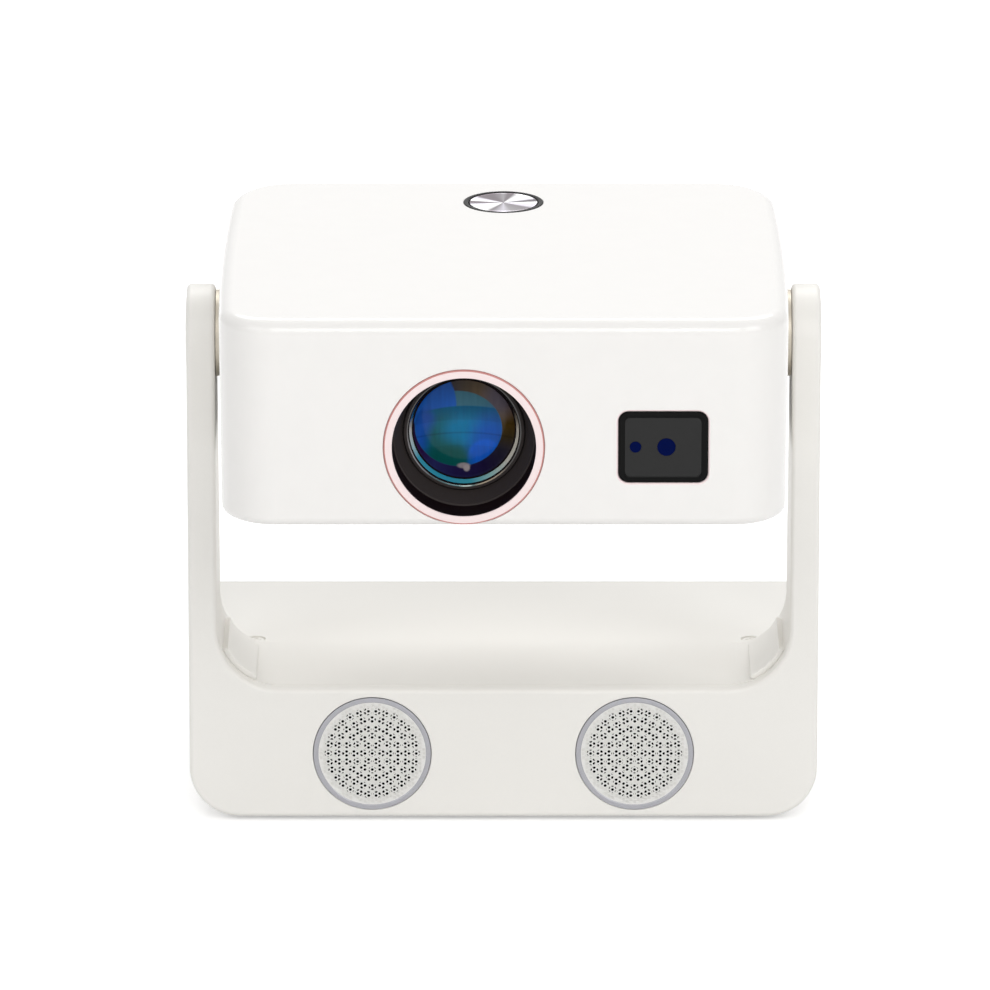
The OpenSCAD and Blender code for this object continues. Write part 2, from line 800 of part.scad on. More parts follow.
// Panel with the fan's vents, the sockets' openings and the screw holes
module rear_panel() {
    y0 = panel_front - through;
    y1 = panel_back + through;
    grow = [2 * touch_gap, 2 * touch_gap];
    color([0.14, 0.14, 0.15]) at_axis() difference() {
        along_y(panel_front, panel_back) rear_outline(slip);
        for (k = vents) translate([fan_x, 0, fan_z + k * vent_pitch])
            along_y(y0, y1) rounded_rect(fan_size - 6 - abs(k) * 1.6, vent_h, vent_h / 2 - 0.05);
        for (s = [[hdmi_x, hdmi_size], [usb_x, usb_size]]) translate([s[0], 0, sockets_z + s[1][1] / 2])
            along_y(y0, y1) square(s[1] + grow, center = true);
        translate([audio_x, 0, audio_z]) rod_y(audio_r + 0.2, y0, y1);
        translate([power_x, 0, power_z]) rod_y(power_r + 0.2, y0, y1);
        for (p = case_points) translate([p[0], 0, p[1]]) {
            rod_y(screw_r + 0.1, y0, y1);
            rod_y(2.4, panel_back - 1, y1);
        }
    }
}

module case_screws() {
    color([0.3, 0.3, 0.3]) at_axis() for (p = case_points)
        translate([p[0], panel_back - 0.3, p[1]]) rotate([-90, 0, 0]) screw(2.2, 0.7, screw_r, 7.5);
}

// Sheet-metal tray that carries everything inside the body and joins the two hinge hubs
module chassis() {
    wall = chassis_wall;
    tab_z = 2.6;
    post_r = 2.5;
    color([0.66, 0.67, 0.69]) at_axis() difference() {
        union() {
            block([-chassis_half, engine_front + 0.2, chassis_z], [chassis_half, chassis_back, deck_z]);
            block([board_left - 5, board_front - 4, chassis_z], [chassis_half, engine_front + 1, deck_z]);
            for (side = [0, 1]) mirror([side, 0, 0]) {
                block([chassis_half - wall, -20, chassis_z], [chassis_half, chassis_back, chassis_top]);
                for (p = case_points) if (p[0] > 0) {
                    block([p[0] - case_half, chassis_back - 1, p[1] - tab_z],
                          [p[0] + case_half, panel_front, p[1] + tab_z]);
                    block([p[0] - case_half, chassis_back - 4, p[1] - tab_z],
                          [chassis_half, chassis_back, p[1] + tab_z]);
                }
                block([chassis_half - wall, chassis_back - 8, chassis_top - 1],
                      [chassis_half, chassis_back, sink_top - 0.5]);
            }
            for (x = [board_left + 4, board_right - 4], y = [board_front + 5, board_back - 12])
                translate([x, y, deck_z - 0.2]) cylinder(r = post_r, h = board_z - deck_z + 0.2, $fn = 32);
            translate([0, button_y + 12, deck_z - 0.2])
                cylinder(r = post_r + 0.1, h = switch_z - deck_z + 0.2, $fn = 32);
        }
        for (side = [0, 1]) mirror([side, 0, 0]) {
            rod_x(cable_bore / 2, chassis_half - wall - through, chassis_half + through);
            for (p = case_points) if (p[0] > 0) translate([p[0], 0, p[1]])
                rod_y(screw_r, chassis_back - 6, panel_front + through);
        }
    }
}

// --- Tilt hinge --------------------------------------------------------------------------------------

// Hollow hub: boss through the body's wall, disc in the gap with the stop slot, and shaft through the arm
module hinge_hub(side) {
    disc_end = arm_in - 0.2;
    span = tilt_up + tilt_down + 2 * stop_margin;
    color([0.55, 0.55, 0.57]) at_axis() mirror([side, 0, 0]) difference() {
        union() {
            rod_x(shaft_d / 2 + 4, chassis_half, body_w / 2 + 0.2);
            rod_x(hub_d / 2, body_w / 2, disc_end);
            rod_x(shaft_d / 2, body_w / 2, shaft_end);
        }
        rod_x(cable_bore / 2, chassis_half - through, shaft_end + through);
        rotate([0, 90, 0]) rotate([0, 0, 90 + stop_at - tilt_down - stop_margin])
            translate([0, 0, arm_in - 1.4 - touch_gap])
                rotate_extrude(angle = span) translate([stop_r - stop_pin_r - 0.2, 0])
                    square([2 * stop_pin_r + 0.4, 5]);
    }
}

module hinge_hub_left() hinge_hub(1);
module hinge_hub_right() hinge_hub(0);

module hinge_nuts() {
    color("silver") at_axis() for (side = [0, 1]) mirror([side, 0, 0]) difference() {
        rotate([0, 90, 0]) translate([0, 0, nut_x]) cylinder(r = shaft_d / 2 + 3.8, h = nut_t, $fn = 6);
        rod_x(shaft_d / 2, arm_in, arm_out);
    }
}

// --- Lens and focus drive ----------------------------------------------------------------------------

module lens_trim_ring() {
    color([0.93, 0.84, 0.82]) at_axis() on_lens()
        tube_y(ring_r, port_r, -body_ahead - ring_proud, -body_ahead + ring_depth);
}

// Black stepped tunnel between the trim ring and the lens barrel
module lens_hood() {
    front = -body_ahead + ring_depth;
    outer = port_r + 0.9;
    color([0.05, 0.05, 0.06]) at_axis() on_lens() turned_y()
        polygon([[port_r, front], [outer, front], [outer, barrel_front], [cell_r + touch_gap, barrel_front],
                 [cell_r + touch_gap, barrel_front - 2], [port_r - 2.2, -body_ahead + step_depth + 0.6],
                 [port_r - 2.2, -body_ahead + step_depth], [port_r, -body_ahead + step_depth]]);
}

// Fixed barrel with the seat of the rear lens and the two ears of the focus drive
module lens_barrel() {
    bore = cell_r + running;
    seat_y = engine_front - 12;
    color([0.08, 0.08, 0.09]) at_axis() on_lens() difference() {
        union() {
            rod_y(barrel_r, barrel_front, engine_front);
            block([-flange_x, engine_front - flange_t, -flange_low], [flange_x, engine_front, flange_top]);
            for (y = [lug_y - 8, seat_y - 2])
                block([-ear_x, y, barrel_r - 2], [ear_x, y + ear_t, drive_h + 4]);
        }
        rod_y(bore, barrel_front - through, seat_y);
        rod_y(rear_lens_r, seat_y - through, engine_front - 3);
        rod_y(rear_lens_r - 1.5, seat_y, engine_front + through);
        block([-lug_x - 0.5, lug_y - focus_travel - 0.5, 0],
              [lug_x + 0.5, lug_y + lug_len + focus_travel + 0.5, barrel_r + 1]);
        translate([screw_x, 0, drive_h]) rod_y(lead_r + running, lug_y - 9, engine_front);
        translate([-screw_x, 0, drive_h]) rod_y(rod_r, lug_y - 9, engine_front);
    }
}

// Lens with two bulging faces: radius, thickness at the rim, and bulge of each face
module bulged_lens(r, rim_t, bulge) {
    ball = (r * r + bulge * bulge) / (2 * bulge);
    turned_y() intersection() {
        translate([0, ball - bulge - rim_t / 2]) circle(ball, $fn = 480);
        translate([0, -ball + bulge + rim_t / 2]) circle(ball, $fn = 480);
        translate([0, -r]) square([r, 2 * r]);
    }
}

module rear_lens() {
    color([0.75, 0.85, 0.9]) at_axis() on_lens() translate([0, engine_front - 7, 0])
        bulged_lens(rear_lens_r, 2.5, 2.2);
}

// Focus cell: sliding tube that holds the front lens, with the lug driven by the lead screw
module focus_cell() {
    lip = 0.6;
    color([0.1, 0.1, 0.11]) at_axis() on_lens() difference() {
        union() {
            rod_y(cell_r, lens_y - 1, lens_y + cell_len);
            block([-lug_x, lug_y, cell_r - 3], [lug_x, lug_y + lug_len, drive_h + 3.5]);
        }
        rod_y(lens_d / 2, lens_y, lens_y + cell_len + through);
        rod_y(lens_d / 2 - lip, lens_y - 2 * through, lens_y + through);
        for (bore = [[screw_x, lead_r], [-screw_x, rod_r]]) translate([bore[0], 0, drive_h])
            rod_y(bore[1] + running, lug_y - through, lug_y + lug_len + through);
    }
}

module front_lens() {
    color([0.3, 0.45, 0.7]) at_axis() on_lens() translate([0, lens_y + 4.5, 0])
        bulged_lens(lens_d / 2, 3, 3);
}

module guide_rod() {
    color("silver") at_axis() on_lens() translate([-screw_x, 0, drive_h])
        rod_y(rod_r, lug_y - 8, engine_front - 11.5);
}

module lead_screw() {
    color("goldenrod") at_axis() on_lens() translate([screw_x, 0, drive_h])
        rod_y(lead_r, lug_y - 8.6, engine_front - 10.5);
}

module focus_motor() {
    y = engine_front - 11.5;
    color([0.6, 0.6, 0.62]) at_axis() on_lens() translate([screw_x, 0, drive_h]) difference() {
        union() {
            rod_y(motor_r, y, y + 10);
            block([-motor_r, y, barrel_r - drive_h], [motor_r, y + 9, 0]);
        }
        rod_y(lead_r + running, y - through, y + 3);
    }
}

// --- Light engine ------------------------------------------------------------------------------------

module engine_housing() {
    color([0.12, 0.12, 0.13]) at_axis() translate([lens_x, prism_y, 0])
        block([-light_r, -light_r, deck_z], [light_r, light_r, lens_z - prism_half]);
    color([0.12, 0.12, 0.13]) at_axis() translate([lens_x, 0, 0]) difference() {
        block([-engine_half, engine_front, deck_z], [engine_half, engine_back, engine_top]);
        block([-engine_half + engine_wall, engine_front + engine_wall, deck_z + engine_wall],
              [engine_half - engine_wall, engine_back - engine_wall, engine_top - engine_wall]);
        translate([0, 0, lens_z]) {
            rod_y(rear_lens_r - 1.5, engine_front - through, engine_front + engine_wall + through);
            block([-9, engine_back - engine_wall - through, -7], [9, engine_back + through, 7]);
            translate([0, prism_y, 0])
                rod_x(light_r, -engine_half - through, -engine_half + engine_wall + through);
        }
    }
}

module prism() {
    s = prism_half;
    color([0.8, 0.9, 0.95]) at_axis() on_lens() translate([0, prism_y, 0]) {
        linear_extrude(2 * s, center = true) polygon([[-s, -s], [s - 0.3, -s], [-s, s - 0.3]]);
        linear_extrude(2 * s, center = true) polygon([[s, s], [s, -s + 0.1], [-s + 0.1, s]]);
    }
}

// Board with the imaging chip on its front and a finned cooler on its back
module imager_board() {
    fin_half = 0.8;
    fin_h = 12;
    color([0.1, 0.35, 0.2]) at_axis() on_lens() {
        block([-imager_half, engine_back, -imager_low], [imager_half, engine_back + board_t, imager_half]);
        block([-7, engine_back - 2.2, -5], [7, engine_back, 5]);
        for (x = [-15:5:15])
            block([x - fin_half, engine_back + board_t, -fin_h], [x + fin_half, engine_back + 8, fin_h]);
    }
}

module led_board() {
    y = prism_y;
    color([0.75, 0.5, 0.35]) at_axis() {
        block([sink_right, y - led_y, lens_z - led_z],
              [sink_right + led_plate_t, y + led_y, lens_z + led_z]);
        translate([0, y, lens_z]) rod_x(light_r - 0.6, sink_right + led_plate_t - 0.4, engine_left);
    }
}

// Upright base plate against the light source, with level fins
module heat_sink() {
    fins = floor((sink_top - deck_z - fin_t) / fin_pitch);
    color([0.72, 0.73, 0.75]) at_axis() difference() {
        union() {
            block([sink_right - sink_base_t, sink_front, deck_z],
                  [sink_right, sink_back, deck_z + fins * fin_pitch + fin_t]);
            for (k = [0:fins]) block([sink_left, sink_front, deck_z + k * fin_pitch],
                                     [sink_right, sink_back, deck_z + k * fin_pitch + fin_t]);
        }
        for (p = pipes) translate([p[0], p[1], deck_z - through])
            cylinder(r = pipe_r, h = sink_top - deck_z + 2 * through);
    }
}

module heat_pipes() {
    color([0.75, 0.45, 0.3]) at_axis() for (p = pipes)
        translate([p[0], p[1], deck_z]) cylinder(r = pipe_r, h = sink_top - deck_z);
}

module fan_frame() {
    color([0.1, 0.1, 0.1]) at_axis() translate([fan_x, 0, fan_z]) {
        difference() {
            along_y(fan_front, fan_back) rounded_rect(fan_size, fan_size, 4);
            rod_y(fan_r, fan_front - through, fan_back + through);
        }
        difference() {
            union() {
                rod_y(fan_hub_r - 0.5, fan_back - 2, fan_back);
                for (a = [0, 90, 180, 270]) rotate([0, a + 45, 0])
                    block([0, fan_back - 2, -1.5], [fan_r + 0.5, fan_back, 1.5]);
                rod_y(2.5, fan_front + 5, fan_back - 1);
            }
            rod_y(fan_pin_r, fan_front, fan_back - 4);
        }
    }
}

// Fan rotor: hub cup with pitched blades
module fan_rotor() {
    hub_r = fan_hub_r;
    tip_r = fan_r - 0.8;
    y0 = fan_front + 0.8;
    y1 = fan_back - 2.8;
    blade_pitch = 38;
    blade_t = 1;
    chord = 14.4;
    color([0.17, 0.17, 0.18]) at_axis() translate([fan_x, 0, fan_z]) {
        difference() {
            rod_y(hub_r, y0, y1);
            rod_y(hub_r - 1.5, y0 + 1.5, y1 + through);
        }
        rod_y(fan_pin_r - running, y0, y0 + 8);
        difference() {
            intersection() {
                for (k = [1:fan_blades]) rotate([0, 360 * k / fan_blades, 0])
                    translate([0, (y0 + y1) / 2, 0]) rotate([blade_pitch, 0, 0])
                        block([hub_r - 0.6, -blade_t / 2, -chord / 2], [fan_r + 4, blade_t / 2, chord / 2]);
                rod_y(tip_r, y0, y1);
            }
            rod_y(hub_r - 1, y0 - through, y1 + through);
        }
    }
}

// --- Boards and sockets ------------------------------------------------------------------------------

module main_board() {
    z = sockets_z;
    color([0.1, 0.3, 0.2]) at_axis() {
        block([board_left, board_front, board_z], [board_right, board_back, z]);
        block([board_left + 14, -30, z], [board_left + 36, -8, z + 6]);
        for (x = [board_left + 4, board_left + 24]) block([x, 0, z], [x + 12, 10, z + 1.4]);
        for (y = [-60, -50, 14]) translate([board_right - 8, y, z]) cylinder(r = 4, h = 11, $fn = 32);
        block([board_left + 6, -58, z], [board_left + 22, -42, z + 4]);
    }
}

// Barrel socket for the power lead: block with a round hole and a centre pin
module power_socket() {
    half = power_r + 0.5;
    deep = 10;
    color([0.12, 0.12, 0.12]) at_axis() translate([power_x, 0, power_z]) {
        difference() {
            union() {
                block([-half, board_back - 13, -half], [half, panel_front - touch_gap, half]);
                rod_y(power_r, panel_front - 1, socket_back);
            }
            rod_y(power_r - 2, socket_back - deep, socket_back + through);
        }
        rod_y(1, socket_back - deep - 1, socket_back - 1);
    }
}

// Sheet-metal socket shells for picture and data, and the round headphone socket
module signal_sockets() {
    depth = 12;
    wall = 0.45;
    half = audio_z - sockets_z;
    color([0.7, 0.7, 0.72]) at_axis() {
        for (s = [[hdmi_x, hdmi_size], [usb_x, usb_size]]) translate([s[0], 0, sockets_z + s[1][1] / 2])
            difference() {
                along_y(socket_back - depth, socket_back) square(s[1], center = true);
                along_y(socket_back - depth + 1.5, socket_back + through)
                    square(s[1] - 2 * [wall, wall], center = true);
            }
        translate([audio_x, 0, audio_z]) difference() {
            union() {
                block([-half, board_back - depth, -half], [half, panel_front - touch_gap, half]);
                rod_y(audio_r, panel_front - 1, socket_back);
            }
            rod_y(1.8, socket_back - 11, socket_back + through);
        }
    }
}

// --- Power button ------------------------------------------------------------------------------------

module at_button() at_axis() translate([0, button_y, 0]) children();

// Black ring in the shell's top, with a flange under the wall and a ledge under the cap
module button_ring() {
    low = ledge_z - ledge_t;
    color([0.04, 0.04, 0.05]) at_button() difference() {
        union() {
            translate([0, 0, low]) cylinder(r = button_hole, h = body_above + 0.1 - low);
            translate([0, 0, low]) cylinder(r = button_hole + 1.5, h = inner_above - low);
        }
        translate([0, 0, ledge_z]) cylinder(r = button_r + 0.1, h = 10);
        translate([0, 0, ledge_z - 2 * through]) cylinder(r = stem_r + 0.1, h = 10);
    }
}

// Metal cap on a hollow stem with a lip that holds it in, and the pusher for the switch
module button_cap() {
    lip_t = 1;
    wall = 1.2;
    low = stem_bottom - lip_t - through;
    color([0.72, 0.7, 0.68]) at_button() {
        difference() {
            union() {
                translate([0, 0, cap_top - cap_plate]) cylinder(r = button_r, h = cap_plate);
                translate([0, 0, stem_bottom]) cylinder(r = stem_r, h = cap_top - stem_bottom - 0.2);
                translate([0, 0, stem_bottom - lip_t]) cylinder(r = stem_r + 1, h = lip_t + 0.1);
            }
            translate([0, 0, low]) cylinder(r = stem_r - wall, h = cap_top - cap_plate - low);
        }
        translate([0, 0, pusher_z]) cylinder(r = 2.2, h = cap_top - 1 - pusher_z);
    }
}

// Coil spring between the switch board and the underside of the cap
module button_spring() {
    low = switch_z + board_t + spring_wire;
    high = cap_top - cap_plate - spring_wire;
    turns = 7;
    steps = 14 * turns;
    path = [for (i = [0:steps]) let (a = 360 * turns * i / steps)
            [spring_r * cos(a), spring_r * sin(a), low + (high - low) * i / steps]];
    color("silver") at_button() swept(path, spring_wire, 6, [0, 0, 1]);
}

module switch_board() {
    z = switch_z + board_t;
    color([0.1, 0.35, 0.2]) at_button() {
        translate([-8, -8, switch_z]) cube([16, 23, board_t]);
        translate([-2.6, -2.6, z]) cube([5.2, 5.2, switch_h - 0.8]);
        translate([0, 0, z]) cylinder(r = 1.7, h = switch_h, $fn = 32);
    }
}

// --- Sensor window -----------------------------------------------------------------------------------

module at_window() at_axis() translate([window_x, 0, window_z]) children();

module window_bezel() {
    color([0.08, 0.08, 0.08]) at_window() difference() {
        union() {
            along_y(-body_ahead, -body_ahead + window_depth)
                rounded_rect(window_w - 0.2, window_h - 0.2, window_r - 0.1);
            along_y(-inner_ahead, -inner_ahead + 1.5)
                rounded_rect(window_w + 3, window_h + 3, window_r + 1);
        }
        along_y(-body_ahead - through, -body_ahead + window_depth + through)
            rounded_rect(window_w - 2 * window_border, window_h - 2 * window_border, window_r - 1.5);
    }
}

module window_panel() {
    less = 2 * window_border + 0.1;
    color([0.2, 0.2, 0.21]) at_window() difference() {
        along_y(glass_back - glass_t, glass_back)
            rounded_rect(window_w - less, window_h - less, window_r - 1.5);
        translate([camera_x - window_x, 0, 0]) rod_y(camera_d / 2 + 0.05, -body_ahead - through, 0);
        translate([sensor_x - window_x, 0, 0]) rod_y(sensor_d / 2 + 0.05, -body_ahead - through, 0);
    }
}

module camera_module() {
    half = 5;
    color([0.02, 0.1, 0.28]) at_axis() translate([camera_x, 0, window_z]) {
        block([-half, glass_back, -half], [half, -body_ahead + 11, half]);
        rod_y(camera_d / 2, glass_back - glass_t, glass_back + 1);
        block([-half, -body_ahead + 6, -window_h / 2 + 1], [half, -body_ahead + 7.5, window_h / 2 - 1]);
    }
}

module distance_sensor() {
    half = 3;
    color([0.02, 0.06, 0.25]) at_axis() translate([sensor_x, 0, window_z]) {
        block([-half, glass_back, -half], [half, -body_ahead + 8, half]);
        rod_y(sensor_d / 2, glass_back - glass_t, glass_back + 1);
        block([-half, -body_ahead + 6, -window_h / 2 + 1], [half, -body_ahead + 7.5, window_h / 2 - 1]);
    }
}

stand_shell();
stand_rear_cover();
base_plate();
feet();
base_screws();
base_weight();
tripod_insert();
amplifier_board();
arm_bracket_left();
arm_bracket_right();
friction_washers();
arm_cap_left();
arm_cap_right();
corner_cover_left();
corner_cover_right();
corner_screws();
speaker_grille_left();
speaker_grille_right();
speaker_basket_left();
speaker_basket_right();
speaker_magnet_left();
speaker_magnet_right();
speaker_cone_left();
speaker_cone_right();
arm_cable();
outer_shell();
rear_panel();
case_screws();
chassis();
hinge_hub_left();
hinge_hub_right();
hinge_nuts();
lens_trim_ring();
lens_hood();
lens_barrel();
rear_lens();
focus_cell();
front_lens();
guide_rod();
lead_screw();
focus_motor();
engine_housing();
prism();
imager_board();
led_board();
heat_sink();
heat_pipes();
fan_frame();
fan_rotor();
main_board();
power_socket();
signal_sockets();
button_ring();
button_cap();
button_spring();
switch_board();
window_bezel();
window_panel();
camera_module();
distance_sensor();
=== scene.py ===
import math

import bmesh
import bpy
from bpy.props import FloatProperty, FloatVectorProperty, IntProperty, PointerProperty
from mathutils import Matrix, Vector
from mathutils.geometry import delaunay_2d_cdt


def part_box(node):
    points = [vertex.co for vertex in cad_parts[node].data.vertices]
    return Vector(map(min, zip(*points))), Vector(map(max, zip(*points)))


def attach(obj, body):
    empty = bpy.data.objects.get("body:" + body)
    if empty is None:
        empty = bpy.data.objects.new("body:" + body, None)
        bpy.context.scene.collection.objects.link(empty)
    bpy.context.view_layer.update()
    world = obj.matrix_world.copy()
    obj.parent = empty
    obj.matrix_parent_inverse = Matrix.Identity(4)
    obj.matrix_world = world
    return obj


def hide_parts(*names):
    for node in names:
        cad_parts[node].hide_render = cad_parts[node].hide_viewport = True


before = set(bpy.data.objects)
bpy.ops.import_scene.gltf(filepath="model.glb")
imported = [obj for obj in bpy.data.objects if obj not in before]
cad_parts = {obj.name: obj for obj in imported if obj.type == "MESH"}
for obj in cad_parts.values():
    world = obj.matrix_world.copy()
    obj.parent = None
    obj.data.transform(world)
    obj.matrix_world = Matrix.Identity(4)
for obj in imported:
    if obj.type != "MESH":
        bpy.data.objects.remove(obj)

bl_info = {
    "name": "Home projector",
    "version": (1, 0, 0),
    "blender": (4, 5, 0),
    "location": "3D View > Sidebar > Projector",
    "description": "Builds the visible pieces of a home projector that tilts in a U-shaped speaker stand",
    "category": "Add Mesh",
}

# The scene is in metres. The front faces -Y, +Z is up and the table is z = 0.
MM = 0.001
# Gap between two mouldings that fit into each other
FIT = 0.15 * MM


def centre_of(node):
    low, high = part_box(node)
    return (low + high) / 2


HINGE = Vector((0, centre_of("hinge_hub_left").y, centre_of("hinge_hub_left").z))
BODY_LOW, BODY_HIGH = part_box("outer_shell")
STAND_LOW, STAND_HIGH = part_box("stand_shell")
COVER_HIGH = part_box("stand_rear_cover")[1]
PANEL_LOW, PANEL_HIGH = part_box("rear_panel")
RING_LOW, RING_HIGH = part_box("lens_trim_ring")
CELL_LOW, CELL_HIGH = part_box("focus_cell")
CAP_LOW, CAP_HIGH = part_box("button_cap")
LENS_AXIS = centre_of("lens_trim_ring")
WINDOW_AXIS = centre_of("window_panel")
BUTTON_AT = (centre_of("button_cap").x, centre_of("button_cap").y, BODY_HIGH.z)


def linear(hex_colour):
    """Linear RGBA of an sRGB hex colour such as "#F4F1EC" """
    out = []
    for i in (1, 3, 5):
        c = int(hex_colour[i : i + 2], 16) / 255
        out.append(c / 12.92 if c <= 0.04045 else ((c + 0.055) / 1.055) ** 2.4)
    return (*out, 1.0)


# --- Sizes and colours that a user may change -----------------------------------------------------


def length(name, description, default):
    """Length in metres"""
    return FloatProperty(name=name, description=description, default=default, min=0, unit="LENGTH", precision=5)


def number(name, description, default, **limits):
    """Number with its limits or unit"""
    return FloatProperty(name=name, description=description, default=default, **limits)


def colour(name, description, default):
    """Colour whose default is a hex string"""
    return FloatVectorProperty(
        name=name, description=description, default=linear(default), size=4, min=0, max=1, subtype="COLOR"
    )


class BodySizes(bpy.types.PropertyGroup):
    """Sizes of the projector body"""

    corner_r: length("Corner radius", "Radius of the upright corners", 18 * MM)
    top_r: length("Top edge", "Radius of the edge round the top", 5 * MM)
    bottom_r: length("Bottom edge", "Radius of the edge round the underside", 3 * MM)
    wall: length("Wall", "Wall of the body shell", 2.2 * MM)
    rear_rim: length("Rear rim", "Rim left above and below the rear panel", 7 * MM)
    side_rim: length("Side rim", "Rim left beside the rear panel", 11 * MM)
    rear_r: length("Rear corner", "Radius of the two rear corners", 20 * MM)
    rear_edge: number("Rear edge", "Depth of the rear edge, as a part of the top edge", 0.3, min=0.1, max=1)
    bow: length("Bow", "How far each side curves in at the rear", 2.4 * MM)
    draft: length("Draft", "How much narrower each side is at the bottom", 0.6 * MM)
    lip_r: length("Rim edge", "Radius of the edge of the rear opening", 0.9 * MM)
    port_lip: length("Port edge", "Radius of the edge of the lens port", 0.2 * MM)
    window_lip: length("Window edge", "Radius of the edge of the window opening", 0.8 * MM)
    slot_w: length("Slot width", "Width of the vents in the underside", 1.8 * MM)
    slot_len: length("Slot length", "Length of the vents in the underside", 36 * MM)
    vent_pitch: length("Vent pitch", "Distance between vents", 4 * MM)
    vent_h: length("Vent height", "Height of the vents in the rear panel", 2.2 * MM)
    vents: IntProperty(
        name="Vents each way", description="Vents above and below the middle one", default=5, min=0, max=8
    )


class StandSizes(bpy.types.PropertyGroup):
    """Sizes of the stand"""

    base_top: length("Base height", "Height of the base's top face", 46.8 * MM)
    head_r: length("Arm head", "Radius of the round top of each arm", 16.5 * MM)
    arm_t: length("Arm thickness", "Thickness of each arm", 9.6 * MM)
    outer_r: length("Outer corner", "Radius of the two bottom corners", 17 * MM)
    inner_r: length("Inner corner", "Radius where the arms run into the base", 21 * MM)
    back_r: length("Back edge", "Radius of the base's top rear edge", 3 * MM)
    arm_back: length("Arm reach", "How far behind the hinge each arm meets the base", 33 * MM)
    foot_r: length("Arm foot", "Radius where the back of each arm meets the base", 3 * MM)
    wall: length("Wall", "Wall of the stand's mouldings", 2 * MM)
    edge_r: length("Edge", "Radius of the stand's long edges", 1.6 * MM)
    seam_in: length("Seam", "Depth of the rear cover", 3 * MM)
    groove_in: length("Groove place", "Distance of the parting groove behind the front", 5 * MM)
    groove_w: length("Groove width", "Width of the parting groove", 0.7 * MM)
    groove_d: length("Groove depth", "Depth of the parting groove", 0.3 * MM)
    sink_r: length("Screw sink", "Radius of the sinks for the two corner screws", 3.1 * MM)
    seam_gap: length("Seam gap", "Gap between the shell and the rear cover", 0.2 * MM)
    lining_t: length("Lining", "Thickness of the corner lining", 1.8 * MM)
    lining_back: length("Lining set-back", "How far the corner lining starts behind its cover's front", 3.2 * MM)


class LensSizes(bpy.types.PropertyGroup):
    """Sizes of the lens port and lens"""

    ring_w: length("Ring width", "Width of the trim ring's face", 2.8 * MM)
    ring_less: length("Ring margin", "Gap left round the trim ring", 0.12 * MM)
    tunnel_step: length("Step depth", "Depth of the step in the tunnel behind the face", 10.5 * MM)
    step_in: length("Step width", "Width of the step in the tunnel", 0.6 * MM)
    lens_d: length("Lens", "Diameter of the front lens", 37.2 * MM)
    cell_back: length("Cell place", "Distance of the focus cell's lip behind its rail's end", 0.6 * MM)
    line_w: length("Lip line", "Width of the polished line on the cell's lip", 0.7 * MM)
    edge_w: length("Ground edge", "Width of the ground edge round the lens", 1.45 * MM)
    lip_w: length("Cell lip", "Width of the lip that holds the lens", 0.5 * MM)
    bulge: length("Bulge", "How far the front lens bulges", 2.9 * MM)


class WindowSizes(bpy.types.PropertyGroup):
    """Sizes of the sensor window"""

    width: length("Width", "Width of the window", 29.3 * MM)
    height: length("Height", "Height of the window", 24.2 * MM)
    corner_r: length("Corner radius", "Corner radius of the window", 3.3 * MM)
    border: length("Border", "Width of the black border", 2.3 * MM)
    camera_d: length("Camera glass", "Diameter of the camera's round glass", 5.9 * MM)
    sensor_d: length("Sensor glass", "Diameter of the distance sensor's round glass", 3.7 * MM)


class ButtonSizes(bpy.types.PropertyGroup):
    """Sizes of the power button"""

    cap_d: length("Cap", "Diameter of the metal cap", 23 * MM)
    ring_w: length("Ring width", "Width of the black ring round the cap", 2 * MM)


class GrilleSizes(bpy.types.PropertyGroup):
    """Sizes of the speaker grilles"""

    grille_d: length("Grille", "Diameter of each grille", 39.7 * MM)
    rim_w: length("Rim", "Width of the solid rim", 1.8 * MM)
    ring_step: length("Ring step", "Distance between rings of openings", 2.97 * MM)
    opening_d: length("Opening", "Diameter of each opening behind the mesh", 2.6 * MM)
    mesh_pitch: length("Mesh pitch", "Distance between the mesh's holes", 1.43 * MM)
    mesh_hole: length("Mesh hole", "Diameter of each hole in the mesh", 1.05 * MM)
    mesh_t: length("Mesh", "Thickness of the mesh", 0.3 * MM)
    rings: IntProperty(
        name="Rings", description="Rings of openings round the middle one", default=5, min=1, max=6
    )


class Finishes(bpy.types.PropertyGroup):
    """Colours of the visible materials"""

    body: colour("Body", "Painted body shell", "#F6F4F1")
    stand: colour("Stand", "Moulded stand", "#F5F3EE")
    rose: colour("Rose ring", "Face of the lens trim ring", "#FBE9E8")
    rose_line: colour("Rose line", "Fine line on the trim ring's edges", "#C98984")
    grille: colour("Grille", "Pressed grille plate", "#F0EFEC")
    grille_rim: colour("Grille rim", "Rim of the grille", "#AEAEB4")
    black: colour("Black", "Black mouldings", "#0C0C0C")
    panel: colour("Rear panel", "Matt rear panel", "#222223")
    smoked: colour("Smoked glass", "Panel of the sensor window", "#2F2F2F")
    sensor: colour("Sensor glass", "Coated glass of the sensors", "#010D42")
    steel: colour("Steel", "Zinc-plated screws", "#B9BABC")


class StageSettings(bpy.types.PropertyGroup):
    """Camera, lamps and floor"""

    lens: number("Lens", "Camera's focal length", 377.1, min=1, unit="CAMERA")
    distance: length("Distance", "Distance from the camera to the point it looks at", 3.492)
    pitch: number("Pitch", "How far the camera looks down", math.radians(17.31), subtype="ANGLE")
    aim_x: number("Aim x", "Point that the camera looks at, to the right", -2.84 * MM, unit="LENGTH")
    aim_z: number("Aim z", "Point that the camera looks at, above the table", 110.5 * MM, unit="LENGTH")
    ambient: number("Ambient", "Strength of the light from all round", 0.4, min=0)
    floor_glow: number("Floor glow", "Light added to the floor as the camera sees it", 0.36, min=0)


